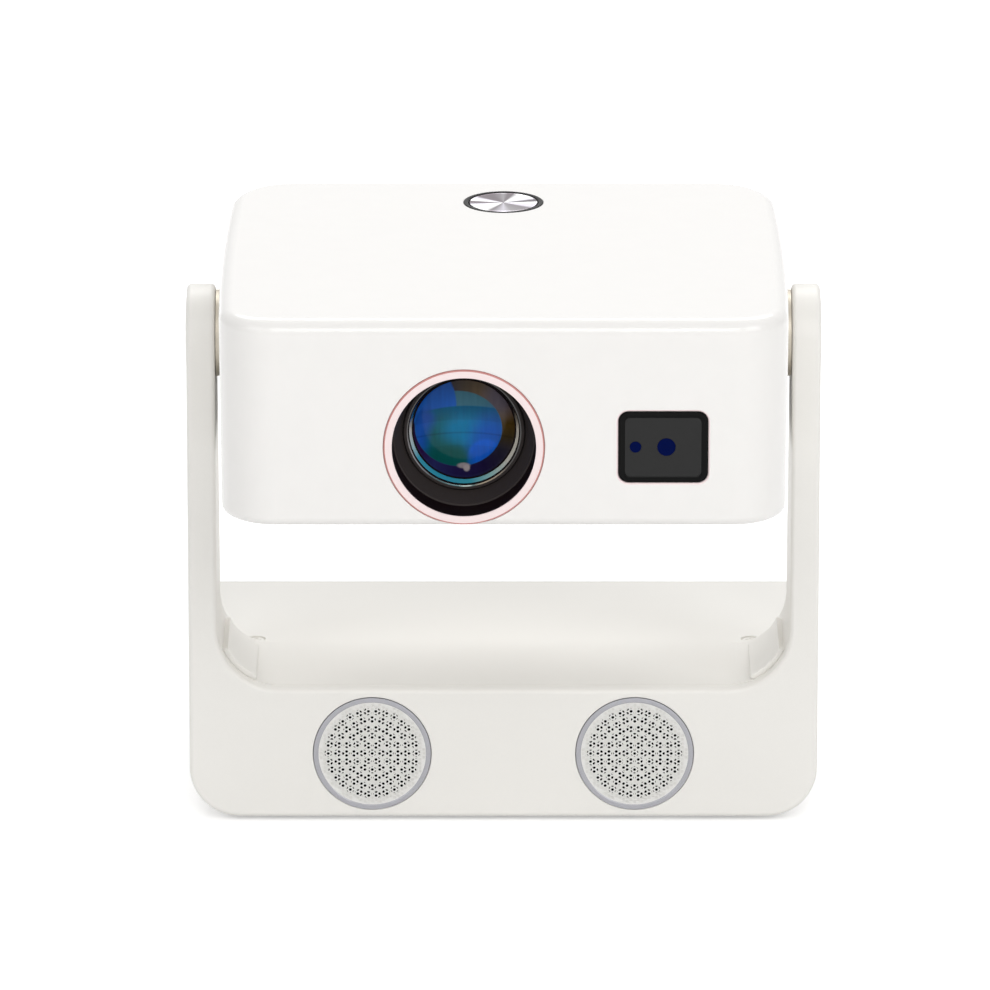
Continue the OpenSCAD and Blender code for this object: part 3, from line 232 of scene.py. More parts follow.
GROUPS = {
    "projector_body": BodySizes,
    "projector_stand": StandSizes,
    "projector_lens": LensSizes,
    "projector_window": WindowSizes,
    "projector_button": ButtonSizes,
    "projector_grille": GrilleSizes,
    "projector_finish": Finishes,
    "projector_stage": StageSettings,
}


# --- Outlines -------------------------------------------------------------------------------------


def arc(cx, cy, r, start, end, steps):
    """Points on an arc, angles in degrees"""
    angles = [math.radians(start + (end - start) * i / steps) for i in range(steps + 1)]
    return [(cx + r * math.cos(a), cy + r * math.sin(a)) for a in angles]


def round_rect(w, h, r, steps=8, cx=0.0, cy=0.0):
    """Rectangle with round corners, about the point cx, cy"""
    x, y = w / 2 - r, h / 2 - r
    corners = ((x, y), (-x, y), (-x, -y), (x, -y))
    return [p for i, (u, v) in enumerate(corners) for p in arc(cx + u, cy + v, r, 90 * i, 90 * i + 90, steps)]


def circle(r, steps=96, cx=0.0, cy=0.0):
    """Circle as so many points, without the last one again"""
    return arc(cx, cy, r, 0, 360, steps)[:-1]


def rounded(r, steps):
    """Offsets (inwards, back) along a quarter round of radius r"""
    angles = [math.radians(90 * i / steps) for i in range(steps + 1)]
    return [(r * (1 - math.cos(a)), r * (1 - math.sin(a))) for a in angles]


# --- Meshes ---------------------------------------------------------------------------------------


def placed(name, data):
    """Object in the scene for a mesh, lamp or camera"""
    piece = bpy.data.objects.new(name, data)
    bpy.context.scene.collection.objects.link(piece)
    return piece


def new_piece(name, points, faces):
    """Object with a welded mesh whose faces point outwards"""
    mesh = bpy.data.meshes.new(name)
    mesh.from_pydata([tuple(p) for p in points], [], faces)
    bm = bmesh.new()
    bm.from_mesh(mesh)
    bmesh.ops.remove_doubles(bm, verts=bm.verts, dist=0.002 * MM)
    bmesh.ops.recalc_face_normals(bm, faces=bm.faces)
    bm.to_mesh(mesh)
    bm.free()
    return placed(name, mesh)


def lofted(name, loops, closed=False):
    """Solid through loops that all have as many points; a closed one runs back to its first loop"""
    n = len(loops[0])
    points = [p for loop in loops for p in loop]
    count = len(loops)
    faces = []
    for i in range(count if closed else count - 1):
        a, b = i * n, (i + 1) % count * n
        for k in range(n):
            j = (k + 1) % n
            faces.append((a + k, a + j, b + j, b + k))
    if not closed:
        faces.append(tuple(range(n - 1, -1, -1)))
        faces.append(tuple(range((count - 1) * n, count * n)))
    return new_piece(name, points, faces)


def along(axis, at, u, v, d):
    """Point u, v in the plane across an axis and d along it, from the point at"""
    x, y, z = {"X": (d, u, v), "Y": (u, d, v), "Z": (u, v, d)}[axis]
    return (at[0] + x, at[1] + y, at[2] + z)


def turned(name, profile, at, axis, steps=96, closed=False):
    """Solid turned about an axis from a profile of (radius, distance along the axis)"""
    loops = [[along(axis, at, u, v, d) for u, v in circle(max(r, 1e-9), steps)] for r, d in profile]
    return lofted(name, loops, closed)


def prism(name, outline, axis, start, end, at=(0, 0, 0)):
    """Solid of an outline drawn out along an axis"""
    return lofted(name, [[along(axis, at, u, v, d) for u, v in outline] for d in (start, end)])


def flare(lip, depth, above=1.5 * MM):
    """Rows (grow, distance out of the surface) of a cutter that leaves a rounded edge of radius lip"""
    rows = [(0, -depth), (0, -lip)]
    angles = [math.radians(t) for t in (18, 36, 54, 72)]
    rows += [(lip * (1 - math.cos(a)), lip * (math.sin(a) - 1)) for a in angles]
    # The last slope runs on through the surface, so that the cut has no step
    grow, out = rows[-1]
    rise = lip * 0.12 - out
    rows.append((grow + rise * math.tan(angles[-1]), lip * 0.12))
    rows.append((rows[-1][0], above))
    return rows


def cutter(outline, axis, at, depth, lip, sign):
    """Cutter for a hole in a flat face at the point at; outline(grow) gives the hole's outline grown all round"""
    rows = flare(lip, depth)
    return lofted("cutter", [[along(axis, at, u, v, sign * d) for u, v in outline(grow)] for grow, d in rows])


def bake(piece):
    """Applies the piece's modifiers to its mesh"""
    bpy.context.view_layer.update()
    graph = bpy.context.evaluated_depsgraph_get()
    mesh = bpy.data.meshes.new_from_object(piece.evaluated_get(graph))
    old = piece.data
    piece.modifiers.clear()
    piece.data = mesh
    bpy.data.meshes.remove(old)
    mesh.name = piece.name
    return piece


def combine(piece, others, operation="DIFFERENCE"):
    """Cuts the others out of the piece, or joins or intersects them with it"""
    for other in others:
        tool = piece.modifiers.new("cut", "BOOLEAN")
        tool.operation = operation
        tool.solver = "EXACT"
        tool.object = other
    bake(piece)
    for other in others:
        bpy.data.objects.remove(other)
    if not piece.data.polygons:
        raise RuntimeError(f"{piece.name} came out empty")
    return piece


def bevel(piece, width):
    """Rounds the piece's sharp edges"""
    tool = piece.modifiers.new("edge", "BEVEL")
    tool.width = width
    tool.segments = 4
    tool.limit_method = "ANGLE"
    tool.angle_limit = math.radians(40)
    tool.use_clamp_overlap = False
    return bake(piece)


def joined(name, parts):
    """One object from several"""
    bm = bmesh.new()
    for part in parts:
        part.data.transform(part.matrix_world)
        bm.from_mesh(part.data)
        bpy.data.objects.remove(part)
    mesh = bpy.data.meshes.new(name)
    bm.to_mesh(mesh)
    bm.free()
    return placed(name, mesh)


def pierced_plate(name, outer, holes, thickness, chamfer, place):
    """Flat plate with holes

    outer(grow) and each hole(grow) give an outline, and place(u, v, d) gives a point d out of the face
    """
    points, faces = [], []

    def add_face(outline, cuts, d, flip):
        flat, loops = [], []
        for loop in [outline, *cuts]:
            loops.append(list(range(len(flat), len(flat) + len(loop))))
            flat += [Vector(p) for p in loop]
        found, _, triangles, _, _, inside = delaunay_2d_cdt(flat, [], loops, 1, 1e-9)
        base = len(points)
        points.extend(place(p.x, p.y, d) for p in found)
        for face, owners in zip(triangles, inside):
            if owners == [0]:
                faces.append(tuple(base + i for i in (reversed(face) if flip else face)))

    def add_wall(rows):
        n = len(rows[0][0])
        base = len(points)
        for loop, d in rows:
            points.extend(place(u, v, d) for u, v in loop)
        for i in range(len(rows) - 1):
            for k in range(n):
                a, b = base + i * n + k, base + i * n + (k + 1) % n
                faces.append((a, b, b + n, a + n))

    add_face(outer(-chamfer), [h(chamfer) for h in holes], 0, False)
    add_face(outer(0), [h(0) for h in holes], -thickness, True)
    add_wall([(outer(-chamfer), 0), (outer(0), -chamfer), (outer(0), -thickness)])
    for h in holes:
        add_wall([(h(chamfer), 0), (h(0), -chamfer), (h(0), -thickness)])
    return new_piece(name, points, faces)


def dress(piece, body, finishes, node=None, sharp=38):
    """Shades the piece, gives it its materials, named in one string, ties it to its body and hides its CAD node"""
    for key in finishes.split():
        piece.data.materials.append(M[key])
    piece.data.shade_smooth()
    piece.data.set_sharp_from_angle(angle=math.radians(sharp))
    tool = piece.modifiers.new("normals", "WEIGHTED_NORMAL")
    tool.keep_sharp = True
    tool.weight = 60
    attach(piece, body)
    if node:
        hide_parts(node)


def paint(piece, index, test):
    """Gives the faces whose middle passes the test the material with that index"""
    for face in piece.data.polygons:
        if test(face.center):
            face.material_index = index


# --- Materials ------------------------------------------------------------------------------------


def add(tree, kind, inputs=None, **settings):
    """Adds a node with its settings; inputs maps a socket to a value or to the output that feeds it"""
    node = tree.nodes.new(kind)
    for key, value in settings.items():
        setattr(node, key, value)
    for key, value in (inputs or {}).items():
        if isinstance(value, bpy.types.NodeSocket):
            tree.links.new(value, node.inputs[key])
        else:
            node.inputs[key].default_value = value
    return node


def ramp(node, stops):
    """Fills a colour ramp with stops, each a place and a hex colour or a grey level"""
    band = node.color_ramp
    while len(band.elements) > 1:
        band.elements.remove(band.elements[-1])
    for i, (place, tone) in enumerate(stops):
        stop = band.elements.new(place) if i else band.elements[0]
        stop.position = place
        stop.color = linear(tone) if isinstance(tone, str) else (tone, tone, tone, 1)


def start_material(name, base, roughness, metallic=0.0, **sockets):
    """Material with one Principled shader; sockets are set by name with _ for a space"""
    made = bpy.data.materials.new(name)
    made.use_nodes = True
    made.diffuse_color = base
    tree = made.node_tree
    tree.nodes.clear()
    values = {"Base Color": base, "Roughness": roughness, "Metallic": metallic}
    values.update({key.replace("_", " "): value for key, value in sockets.items()})
    shader = add(tree, "ShaderNodeBsdfPrincipled", values)
    add(tree, "ShaderNodeOutputMaterial", {"Surface": shader.outputs[0]})
    return made, tree, shader


def grain(tree, shader, size, height, strength, stretch=(1, 1, 1)):
    """Fine surface relief, with the width and the depth of a bump in millimetres"""
    where = add(tree, "ShaderNodeTexCoord")
    mapped = add(tree, "ShaderNodeMapping", {"Vector": where.outputs["Object"], "Scale": stretch})
    noise = add(tree, "ShaderNodeTexNoise", {"Vector": mapped.outputs[0], "Scale": 1 / (size * MM), "Detail": 2.0})
    bump = add(
        tree, "ShaderNodeBump",
        {"Height": noise.outputs["Fac"], "Strength": strength, "Distance": height * MM},
    )
    tree.links.new(bump.outputs[0], shader.inputs["Normal"])
    return noise.outputs["Fac"]


def shade(tree, shader, base, factor, low, high):
    """Varies the base colour between two brightnesses by a factor output"""
    dark = tuple(c * low for c in base[:3]) + (1.0,)
    light = tuple(min(c * high, 1.0) for c in base[:3]) + (1.0,)
    mix = add(tree, "ShaderNodeMix", {"Factor": factor}, data_type="RGBA")
    mix.inputs[6].default_value = dark
    mix.inputs[7].default_value = light
    tree.links.new(mix.outputs[2], shader.inputs["Base Color"])


def surface(name, base, roughness, relief, tones, metallic=0.0, stretch=(1, 1, 1), **sockets):
    """Material whose relief (width, depth, strength) also varies its colour between two tones"""
    made, tree, shader = start_material(name, base, roughness, metallic, **sockets)
    shade(tree, shader, base, grain(tree, shader, *relief, stretch), *tones)
    return made


def make_materials(c):
    """All the materials, by a short name"""
    m = {
        # Moulded ABS with a clear-coated warm white paint: even colour and crisp, bright reflections.
        # The orange peel of the sprayed paint is 5 to 10 mm wide
        "body": surface(
            "painted_abs_warm_white", c.body, 0.45, (7, 0.02, 0.06), (0.985, 1.01),
            Coat_Weight=0.7, Coat_Roughness=0.05, IOR=1.5,
        ),
        # Moulded ABS, satin: a fine spark-eroded grain, 0.3 mm, drawn at 0.6 mm so that it shows
        "stand": surface("moulded_abs_satin_white", c.stand, 0.42, (0.6, 0.008, 0.25), (0.985, 1.01), IOR=1.5),
        # Rose anodised aluminium under a clear coat: pale pink face
        "rose": surface(
            "anodised_aluminium_rose", c.rose, 0.3, (0.5, 0.004, 0.2), (0.98, 1.01), Coat_Weight=0.3, IOR=1.5
        ),
        # The same ring's rounded outer edge, painted a deeper rose
        "rose_line": surface(
            "anodised_aluminium_rose_edge", c.rose_line, 0.35, (0.4, 0.004, 0.2), (0.9, 1.1), IOR=1.5
        ),
        # Pressed aluminium, painted pale grey: slightly uneven satin surface
        "grille": surface("painted_aluminium_pale", c.grille, 0.45, (0.5, 0.02, 0.4), (0.9, 1.04), IOR=1.5),
        # The same paint on the plate behind the mesh, always in its shade
        "grille_back": surface(
            "painted_aluminium_backing", linear("#ECEBE7"), 0.6, (0.5, 0.02, 0.4), (0.9, 1.05), IOR=1.5
        ),
        # Turned aluminium rim, bead blasted: soft grey-lilac sheen
        "grille_rim": surface("blasted_aluminium_rim", c.grille_rim, 0.42, (0.4, 0.01, 0.4), (0.92, 1.05), 0.55),
        # Moulded black polycarbonate, polished: deep black with crisp reflections
        "black_gloss": surface(
            "polished_polycarbonate_black", c.black, 0.22, (1.5, 0.004, 0.2), (0.9, 1.1),
            IOR=1.58, Specular_IOR_Level=0.06,
        ),
        # Matt charcoal moulding inside the tunnel: soft brown-grey sheen where the light reaches it
        "tunnel": surface(
            "matt_moulding_charcoal", linear("#3A3433"), 0.55, (0.5, 0.01, 0.35), (0.88, 1.12),
            IOR=1.45, Specular_IOR_Level=0.15,
        ),
        # Polished black moulding at the tunnel's mouth: nearly black with a trace of maroon
        "tunnel_mouth": surface(
            "polished_moulding_mouth", linear("#140A0C"), 0.4, (0.5, 0.006, 0.3), (0.85, 1.15),
            IOR=1.4, Specular_IOR_Level=0.06,
        ),
        # Textured black ABS: grain of 0.5 mm and a dull face
        "black_matt": surface("textured_abs_black", c.panel, 0.55, (0.5, 0.03, 0.5), (0.85, 1.15), IOR=1.5),
        # Smoked acrylic sheet: dark grey with a smooth, weak reflection
        "smoked": surface(
            "smoked_acrylic", c.smoked, 0.3, (3, 0.004, 0.1), (0.97, 1.03), IOR=1.49, Specular_IOR_Level=0.1
        ),
        # Coated cover glass of the sensors: deep navy
        "navy": surface(
            "coated_glass_navy", c.sensor, 0.2, (2, 0.002, 0.1), (0.85, 1.15), IOR=1.52, Specular_IOR_Level=0.02
        ),
        # Silicone rubber, moulded matt: black with no shine
        "rubber": surface("moulded_rubber_black", linear("#1A1A1A"), 0.8, (0.6, 0.03, 0.5), (0.85, 1.2), IOR=1.45),
        # Pressed paper pulp of the cones: fibrous and dull
        "pulp": surface(
            "pressed_pulp_black", linear("#1C1B1B"), 0.85, (0.8, 0.06, 0.6), (0.7, 1.3), stretch=(1, 1, 3), IOR=1.45
        ),
        "coated_lens": coated_lens(),
        "lens_edge": rim_line("bevelled_glass_edge_painted_reflection", PAINTED_BEVEL_REFLECTIONS),
        "lip_line": rim_line("polished_lip_line_painted_reflection", PAINTED_LIP_REFLECTIONS),
        "spun": spun_metal(),
    }
    # Metals of the working parts: a sheen that follows how each was made, along the stretch of its grain
    for key, name, base, rough, width, stretch in (
        ("steel", "zinc_plated_steel", c.steel, 0.3, 0.4, (1, 1, 1)),
        ("sheet", "galvanised_sheet_steel", linear("#A9ABAE"), 0.4, 3.0, (1, 1, 1)),
        ("weight", "rolled_steel_dull", linear("#77787A"), 0.5, 1.0, (1, 6, 1)),
        ("brass", "machined_brass", linear("#C9A25B"), 0.28, 0.4, (1, 8, 1)),
        ("copper", "drawn_copper", linear("#C57B55"), 0.3, 0.5, (1, 1, 6)),
        ("fins", "skived_aluminium", linear("#BFC1C4"), 0.35, 0.5, (8, 1, 1)),
        ("hub", "turned_aluminium_anodised", linear("#C9C2B4"), 0.5, 0.4, (1, 1, 1)),
        ("motor", "deep_drawn_steel_can", linear("#9EA0A3"), 0.32, 0.6, (1, 6, 1)),
        ("nickel", "nickel_plated_sheet", linear("#B4B5B8"), 0.22, 0.6, (1, 1, 1)),
        ("engine", "die_cast_aluminium_black", linear("#2A2A2C"), 0.5, 0.7, (1, 1, 1)),
        ("magnet", "plated_ferrite", linear("#4A4A4D"), 0.4, 0.6, (1, 1, 1)),
    ):
        m[key] = surface(name, base, rough, (width, 0.01, 0.3), (0.85, 1.1), 1.0, stretch)

    # Black woven cloth behind the grille: dull and nearly without light
    m["cloth"], tree, shader = start_material("woven_cloth_black", linear("#0B0B0B"), 0.95, IOR=1.45)
    grain(tree, shader, 0.4, 0.05, 0.6)

    # Glass-fibre board under green solder mask: the weave shows faintly, 0.5 mm a thread
    green = linear("#1E5A3A")
    m["board"], tree, shader = start_material("solder_mask_green", green, 0.35, IOR=1.5)
    where = add(tree, "ShaderNodeTexCoord")
    # One unit of a wave texture's scale makes about ten threads
    scale = 1 / (0.5 * MM) / 10
    weave = add(tree, "ShaderNodeTexWave", {"Vector": where.outputs["Object"], "Scale": scale, "Distortion": 0.4})
    shade(tree, shader, green, weave.outputs["Fac"], 0.75, 1.15)

    # Polished optical glass inside the engine: clear, with bright edges
    m["glass"], tree, shader = start_material(
        "polished_optical_glass", linear("#DDE8EC"), 0.03, IOR=1.62, Transmission_Weight=1.0
    )
    grain(tree, shader, 8, 0.001, 0.05)
    return m


def round_ramp(tree, centre, axes, stops):
    """Colour that changes with the angle round a centre, and the outputs across and up from the centre"""
    where = add(tree, "ShaderNodeTexCoord")
    moved = add(tree, "ShaderNodeVectorMath", {0: where.outputs["Object"], 1: tuple(centre)}, operation="SUBTRACT")
    split = add(tree, "ShaderNodeSeparateXYZ", {0: moved.outputs[0]})
    u, v = (split.outputs["XYZ".index(a)] for a in axes)
    angle = add(tree, "ShaderNodeMath", {0: v, 1: u}, operation="ARCTAN2")
    turn = add(tree, "ShaderNodeMapRange", {"Value": angle.outputs[0], "From Min": -math.pi, "From Max": math.pi})
    band = add(tree, "ShaderNodeValToRGB", {"Fac": turn.outputs[0]})
    ramp(band, stops)
    return band.outputs["Color"], u, v


# Painted reflection: light and dark fans that the faced button throws, by the part of a turn
PAINTED_FAN_REFLECTIONS = [
    (0.000, "#7A7076"), (0.017, "#7A7076"), (0.033, "#E2DEE8"), (0.064, "#FFFFFF"), (0.163, "#FFFFFF"),
    (0.185, "#7A7076"), (0.250, "#E2DEE8"), (0.290, "#A8A4A8"), (0.389, "#8E868C"), (0.417, "#E2DEE8"),
    (0.461, "#E2DEE8"), (0.503, "#FFFFFF"), (0.519, "#6C666B"), (0.548, "#6C666B"), (0.569, "#E2DEE8"),
    (0.590, "#FFFFFF"), (0.672, "#FFFFFF"), (0.700, "#7A7076"), (0.725, "#7A7076"), (0.750, "#A8A4A8"),
    (0.780, "#8E868C"), (0.811, "#7A7076"), (0.888, "#7A7076"), (0.911, "#E2DEE8"), (0.966, "#FFFFFF"),
    (0.980, "#7A7076"), (1.000, "#7A7076"),
]
# Outer zone of the front lens, where the coating is seen at a low angle, painted with its reflections by the angle
# round the lens: purple, brown and navy
PAINTED_ZONE_REFLECTIONS = [
    (0.00, "#1E1030"), (0.08, "#2A1040"), (0.14, "#262858"), (0.22, "#221A48"), (0.33, "#1C1438"),
    (0.42, "#24222E"), (0.47, "#302818"), (0.52, "#3E2E10"), (0.57, "#66523C"), (0.66, "#625038"),
    (0.75, "#4A3F34"), (0.80, "#34323C"), (0.88, "#3A3028"), (0.95, "#24140E"), (1.00, "#1E1030"),
]
# Painted reflection on the bevel round the front lens: from cream at its sides to cyan underneath, and dark on top
PAINTED_BEVEL_REFLECTIONS = [
    (0.00, "#FFFAF0"), (0.05, "#CDEFF2"), (0.09, "#49B4CF"), (0.20, "#35A6C4"), (0.27, "#44B2C6"),
    (0.33, "#A8DEDC"), (0.40, "#F2EEE0"), (0.50, "#FFF8EA"), (0.535, "#9C968A"), (0.56, "#101014"),
    (0.92, "#101014"), (0.96, "#2A6C8C"), (0.985, "#D8D4CA"), (1.00, "#FFFAF0"),
]
# Painted reflection on the line on the focus cell's lip, with a short painted highlight at the bottom
PAINTED_LIP_REFLECTIONS = [
    (0.00, "#3A3030"), (0.06, "#8C8A90"), (0.12, "#77777E"), (0.155, "#0B3A40"), (0.20, "#0E5A62"),
    (0.235, "#16727A"), (0.245, "#B4D2CC"), (0.265, "#C8DAD2"), (0.275, "#1C5C5C"), (0.30, "#B8A88C"),
    (0.35, "#A08E74"), (0.39, "#2A2018"), (0.45, "#140C0A"), (0.90, "#0E0A0A"), (1.00, "#3A3030"),
]
# Reflections of the coated inner elements, as soft ovals in fractions of the glass's radius: centre across
# and up, half width and height, softness, colour, and where it shows: over the whole glass, inside the
# inner oval only, or as that oval itself
REFLECTIONS = [
    (0.72, 0.66, 0.32, 0.34, 0.60, "#564E58", "whole"),
    (-0.11, 0.03, 0.855, 0.77, 0.02, "#3C6A7C", "oval"),
    (-0.60, 0.50, 0.45, 0.70, 0.05, "#1E58AE", "whole"),
    (0.05, -1.50, 2.20, 2.01, 0.01, "#05587C", "inside"),
    (-0.80, 0.00, 0.28, 0.44, 0.30, "#1A4A9C", "inside"),
    (-0.35, -0.30, 0.38, 0.60, 0.35, "#10545A", "inside"),
    (0.02, 0.02, 0.42, 0.30, 0.60, "#0A6A94", "inside"),
    (0.55, -0.30, 0.42, 0.60, 0.55, "#1450A8", "inside"),
    (0.42, -0.60, 0.36, 0.42, 0.12, "#1658C0", "inside"),
    (-0.30, -0.62, 0.40, 0.30, 0.40, "#08504E", "inside"),
    (-0.01, -0.735, 0.12, 0.06, 0.35, "#948A8E", "whole"),
    (0.05, -0.79, 0.06, 0.07, 0.40, "#A89C9E", "whole"),
]
# Brightness of the level bands up the glass, where the inner elements repeat the lamps
BANDS = [
    (0.00, 0.80), (0.22, 0.84), (0.35, 0.88), (0.36, 1.0), (0.47, 1.02), (0.485, 0.74), (0.50, 1.04),
    (0.61, 1.1), (0.62, 0.94), (0.74, 0.90), (0.755, 1.0), (1.00, 1.0),
]


def spun_metal():
    """Aluminium faced on a lathe: fine rings, and a painted reflection of the light and dark fans that a turned face
    throws, over its own anisotropic sheen
    """
    made, tree, shader = start_material("spun_aluminium_painted_fans", linear("#B9B4B4"), 0.3, 1.0, Anisotropic=0.75)
    # The base colour is a painted reflection: light and dark fans by the angle round the cap
    fan, u, v = round_ramp(tree, (CAP_LOW + CAP_HIGH) / 2, "XY", PAINTED_FAN_REFLECTIONS)
    across = add(tree, "ShaderNodeMath", {0: u, 1: u}, operation="MULTIPLY")
    squares = add(tree, "ShaderNodeMath", {0: v, 1: v, 2: across.outputs[0]}, operation="MULTIPLY_ADD")
    radius = add(tree, "ShaderNodeMath", {0: squares.outputs[0], 1: 0.5}, operation="POWER")
    # Tool marks 0.25 mm apart, drawn at 0.5 mm so that they show
    marks = 2 * math.pi / (0.5 * MM)
    rings = add(tree, "ShaderNodeMath", {0: radius.outputs[0], 1: marks}, operation="MULTIPLY")
    wave = add(tree, "ShaderNodeMath", {0: rings.outputs[0]}, operation="SINE")
    level = add(
        tree, "ShaderNodeMapRange", {"Value": wave.outputs[0], "From Min": -1.0, "To Min": 0.86, "To Max": 1.0}
    )
    scaled = add(tree, "ShaderNodeVectorMath", {0: fan, 3: level.outputs[0]}, operation="SCALE")
    tree.links.new(scaled.outputs[0], shader.inputs["Base Color"])
    bump = add(tree, "ShaderNodeBump", {"Height": wave.outputs[0], "Strength": 0.1, "Distance": 0.01 * MM})
    tree.links.new(bump.outputs[0], shader.inputs["Normal"])
    tangent = add(tree, "ShaderNodeTangent", direction_type="RADIAL", axis="Z")
    tree.links.new(tangent.outputs[0], shader.inputs["Tangent"])
    return made


def coated_lens():
    """Optical glass with a blue-green anti-reflection coating over the dark inside of the barrel; its colour is
    painted reflections of the coating, the inner elements and the lamps
    """
    made, tree, shader = start_material(
        "coated_optical_glass_painted_reflections", linear("#0A5F7E"), 0.08, IOR=1.6, Specular_IOR_Level=0.08
    )
    colour_so_far, u, v = round_ramp(tree, centre_of("front_lens"), "XZ", PAINTED_ZONE_REFLECTIONS)
    sizes = bpy.context.scene.projector_lens
    r = sizes.lens_d / 2 - sizes.lip_w - sizes.edge_w
    place = add(tree, "ShaderNodeCombineXYZ", {0: u, 1: v})
    inner = None
    for across, up, wide, high, soft, tone, where in REFLECTIONS:
        scale = (1 / (wide * r), 1 / (high * r), 0)
        shift = (-across / wide, -up / high, 0)
        away = add(
            tree, "ShaderNodeVectorMath", {0: place.outputs[0], 1: scale, 2: shift}, operation="MULTIPLY_ADD"
        )
        distance = add(tree, "ShaderNodeVectorMath", {0: away.outputs[0]}, operation="LENGTH")
        mask = add(
            tree, "ShaderNodeMapRange",
            {
                "Value": distance.outputs["Value"], "From Min": 1 - soft, "From Max": 1 + soft,
                "To Min": 1.0, "To Max": 0.0,
            },
            interpolation_type="SMOOTHSTEP",
        )
        factor = mask.outputs[0]
        if where == "oval":
            inner = factor
        if where == "inside":
            factor = add(tree, "ShaderNodeMath", {0: factor, 1: inner}, operation="MULTIPLY").outputs[0]
        mixed = add(tree, "ShaderNodeMix", {"Factor": factor, 6: colour_so_far, 7: linear(tone)}, data_type="RGBA")
        colour_so_far = mixed.outputs[2]
    # The bands are bowed like the glass
    bow = add(tree, "ShaderNodeMath", {0: u, 1: u}, operation="MULTIPLY")
    lifted = add(tree, "ShaderNodeMath", {0: bow.outputs[0], 1: 0.16 / r, 2: v}, operation="MULTIPLY_ADD")
    up = add(tree, "ShaderNodeMapRange", {"Value": lifted.outputs[0], "From Min": -r, "From Max": r})
    band = add(tree, "ShaderNodeValToRGB", {"Fac": up.outputs[0]})
    ramp(band, BANDS)
    # Faint upright streaks, about 1.5 mm apart, and the whole colour lifted 1.3 to 1.5 times: painted light that
    # makes up for the shade inside the tunnel
    mapped = add(
        tree, "ShaderNodeMapping", {"Vector": place.outputs[0], "Scale": (1, 0.12, 1), "Rotation": (0, 0, 0.2)}
    )
    streak = add(tree, "ShaderNodeTexNoise", {"Vector": mapped.outputs[0], "Scale": 1 / (1.5 * MM), "Detail": 1.0})
    level = add(
        tree, "ShaderNodeMapRange",
        {"Value": streak.outputs["Fac"], "From Min": 0.3, "From Max": 0.7, "To Min": 1.3, "To Max": 1.5},
    )
    banded = add(
        tree, "ShaderNodeMix", {"Factor": 1.0, 6: colour_so_far, 7: band.outputs["Color"]},
        data_type="RGBA", blend_type="MULTIPLY",
    )
    whole = add(tree, "ShaderNodeVectorMath", {0: banded.outputs[2], 3: level.outputs[0]}, operation="SCALE")
    tree.links.new(whole.outputs[0], shader.inputs["Base Color"])
    return made


def rim_line(name, stops):
    """Polished edge round the front lens: a thin line whose painted reflection changes colour and brightness along
    the rim
    """
    made, tree, shader = start_material(name, linear(stops[0][1]), 0.2, IOR=1.6, Coat_Weight=0.3)
    along_rim, _, _ = round_ramp(tree, centre_of("front_lens"), "XZ", stops)
    tree.links.new(along_rim, shader.inputs["Base Color"])
    return made


# --- Body -----------------------------------------------------------------------------------------


def shaped(s, x, y, z):
    """Point of the straight-sided block moved onto the bowed and drafted sides"""
    widest = BODY_LOW.y + 71 * MM  # the body is widest here and narrows towards its rear
    reach = BODY_HIGH.y - widest
    less = s.bow * ((y - widest) / reach) ** 2 + s.draft * (BODY_HIGH.z - z) / (BODY_HIGH.z - BODY_LOW.z)
    return (x * (1 - less / BODY_HIGH.x), y, z)


def block_loops(s, inset=0.0, stop_y=None):
    """Loops of the body's rounded block from its underside to its top, shrunk all round by inset"""
    steps = 24
    top, low = max(s.top_r - inset, 1 * MM), max(s.bottom_r - inset, 0.8 * MM)
    z0, z1 = BODY_LOW.z + inset, BODY_HIGH.z - inset
    rows = [(d, z0 + e) for e, d in rounded(low, 8)] + [(e, z1 - d) for e, d in rounded(top, 8)]
    front_x, back_x = BODY_HIGH.x - s.corner_r, BODY_HIGH.x - s.rear_r
    front_y, back_y = BODY_LOW.y + s.corner_r, BODY_HIGH.y - s.rear_r
    loops = []
    for e, z in rows:
        front_r, back_r = s.corner_r - inset - e, s.rear_r - inset - e
        side = [(BODY_HIGH.x - inset - e, front_y + (back_y - front_y) * i / 12) for i in range(1, 12)]
        # The edge is rounded less deeply at the rear
        deeper = (back_r + e - e * s.rear_edge) / back_r
        rear = arc(back_x, 0, back_r, 0, 90, steps) + arc(-back_x, 0, back_r, 90, 180, steps)
        loop = [(x, back_y + y * deeper) for x, y in rear]
        loop += [(-x, y) for x, y in reversed(side)]
        loop += arc(-front_x, front_y, front_r, 180, 270, steps) + arc(front_x, front_y, front_r, 270, 360, steps)
        loop += side
        loops.append([shaped(s, x, y if stop_y is None else min(y, stop_y), z) for x, y in loop])
    return loops


def rear_surface(s, x):
    """Where the body's rear surface is, which curves forward at its corners"""
    past = abs(x) * BODY_HIGH.x / (BODY_HIGH.x - s.bow) - (BODY_HIGH.x - s.rear_r)
    if past <= 0:
        return BODY_HIGH.y
    return BODY_HIGH.y - s.rear_r + math.sqrt(max(s.rear_r**2 - past**2, 0))


def rear_outline(s, grow):
    """Outline of the rear opening in x and z, about its middle"""
    w = BODY_HIGH.x - BODY_LOW.x - 2 * s.side_rim + 2 * grow
    h = BODY_HIGH.z - BODY_LOW.z - 2 * s.rear_rim + 2 * grow
    return round_rect(w, h, s.corner_r - s.rear_rim + grow, 16)


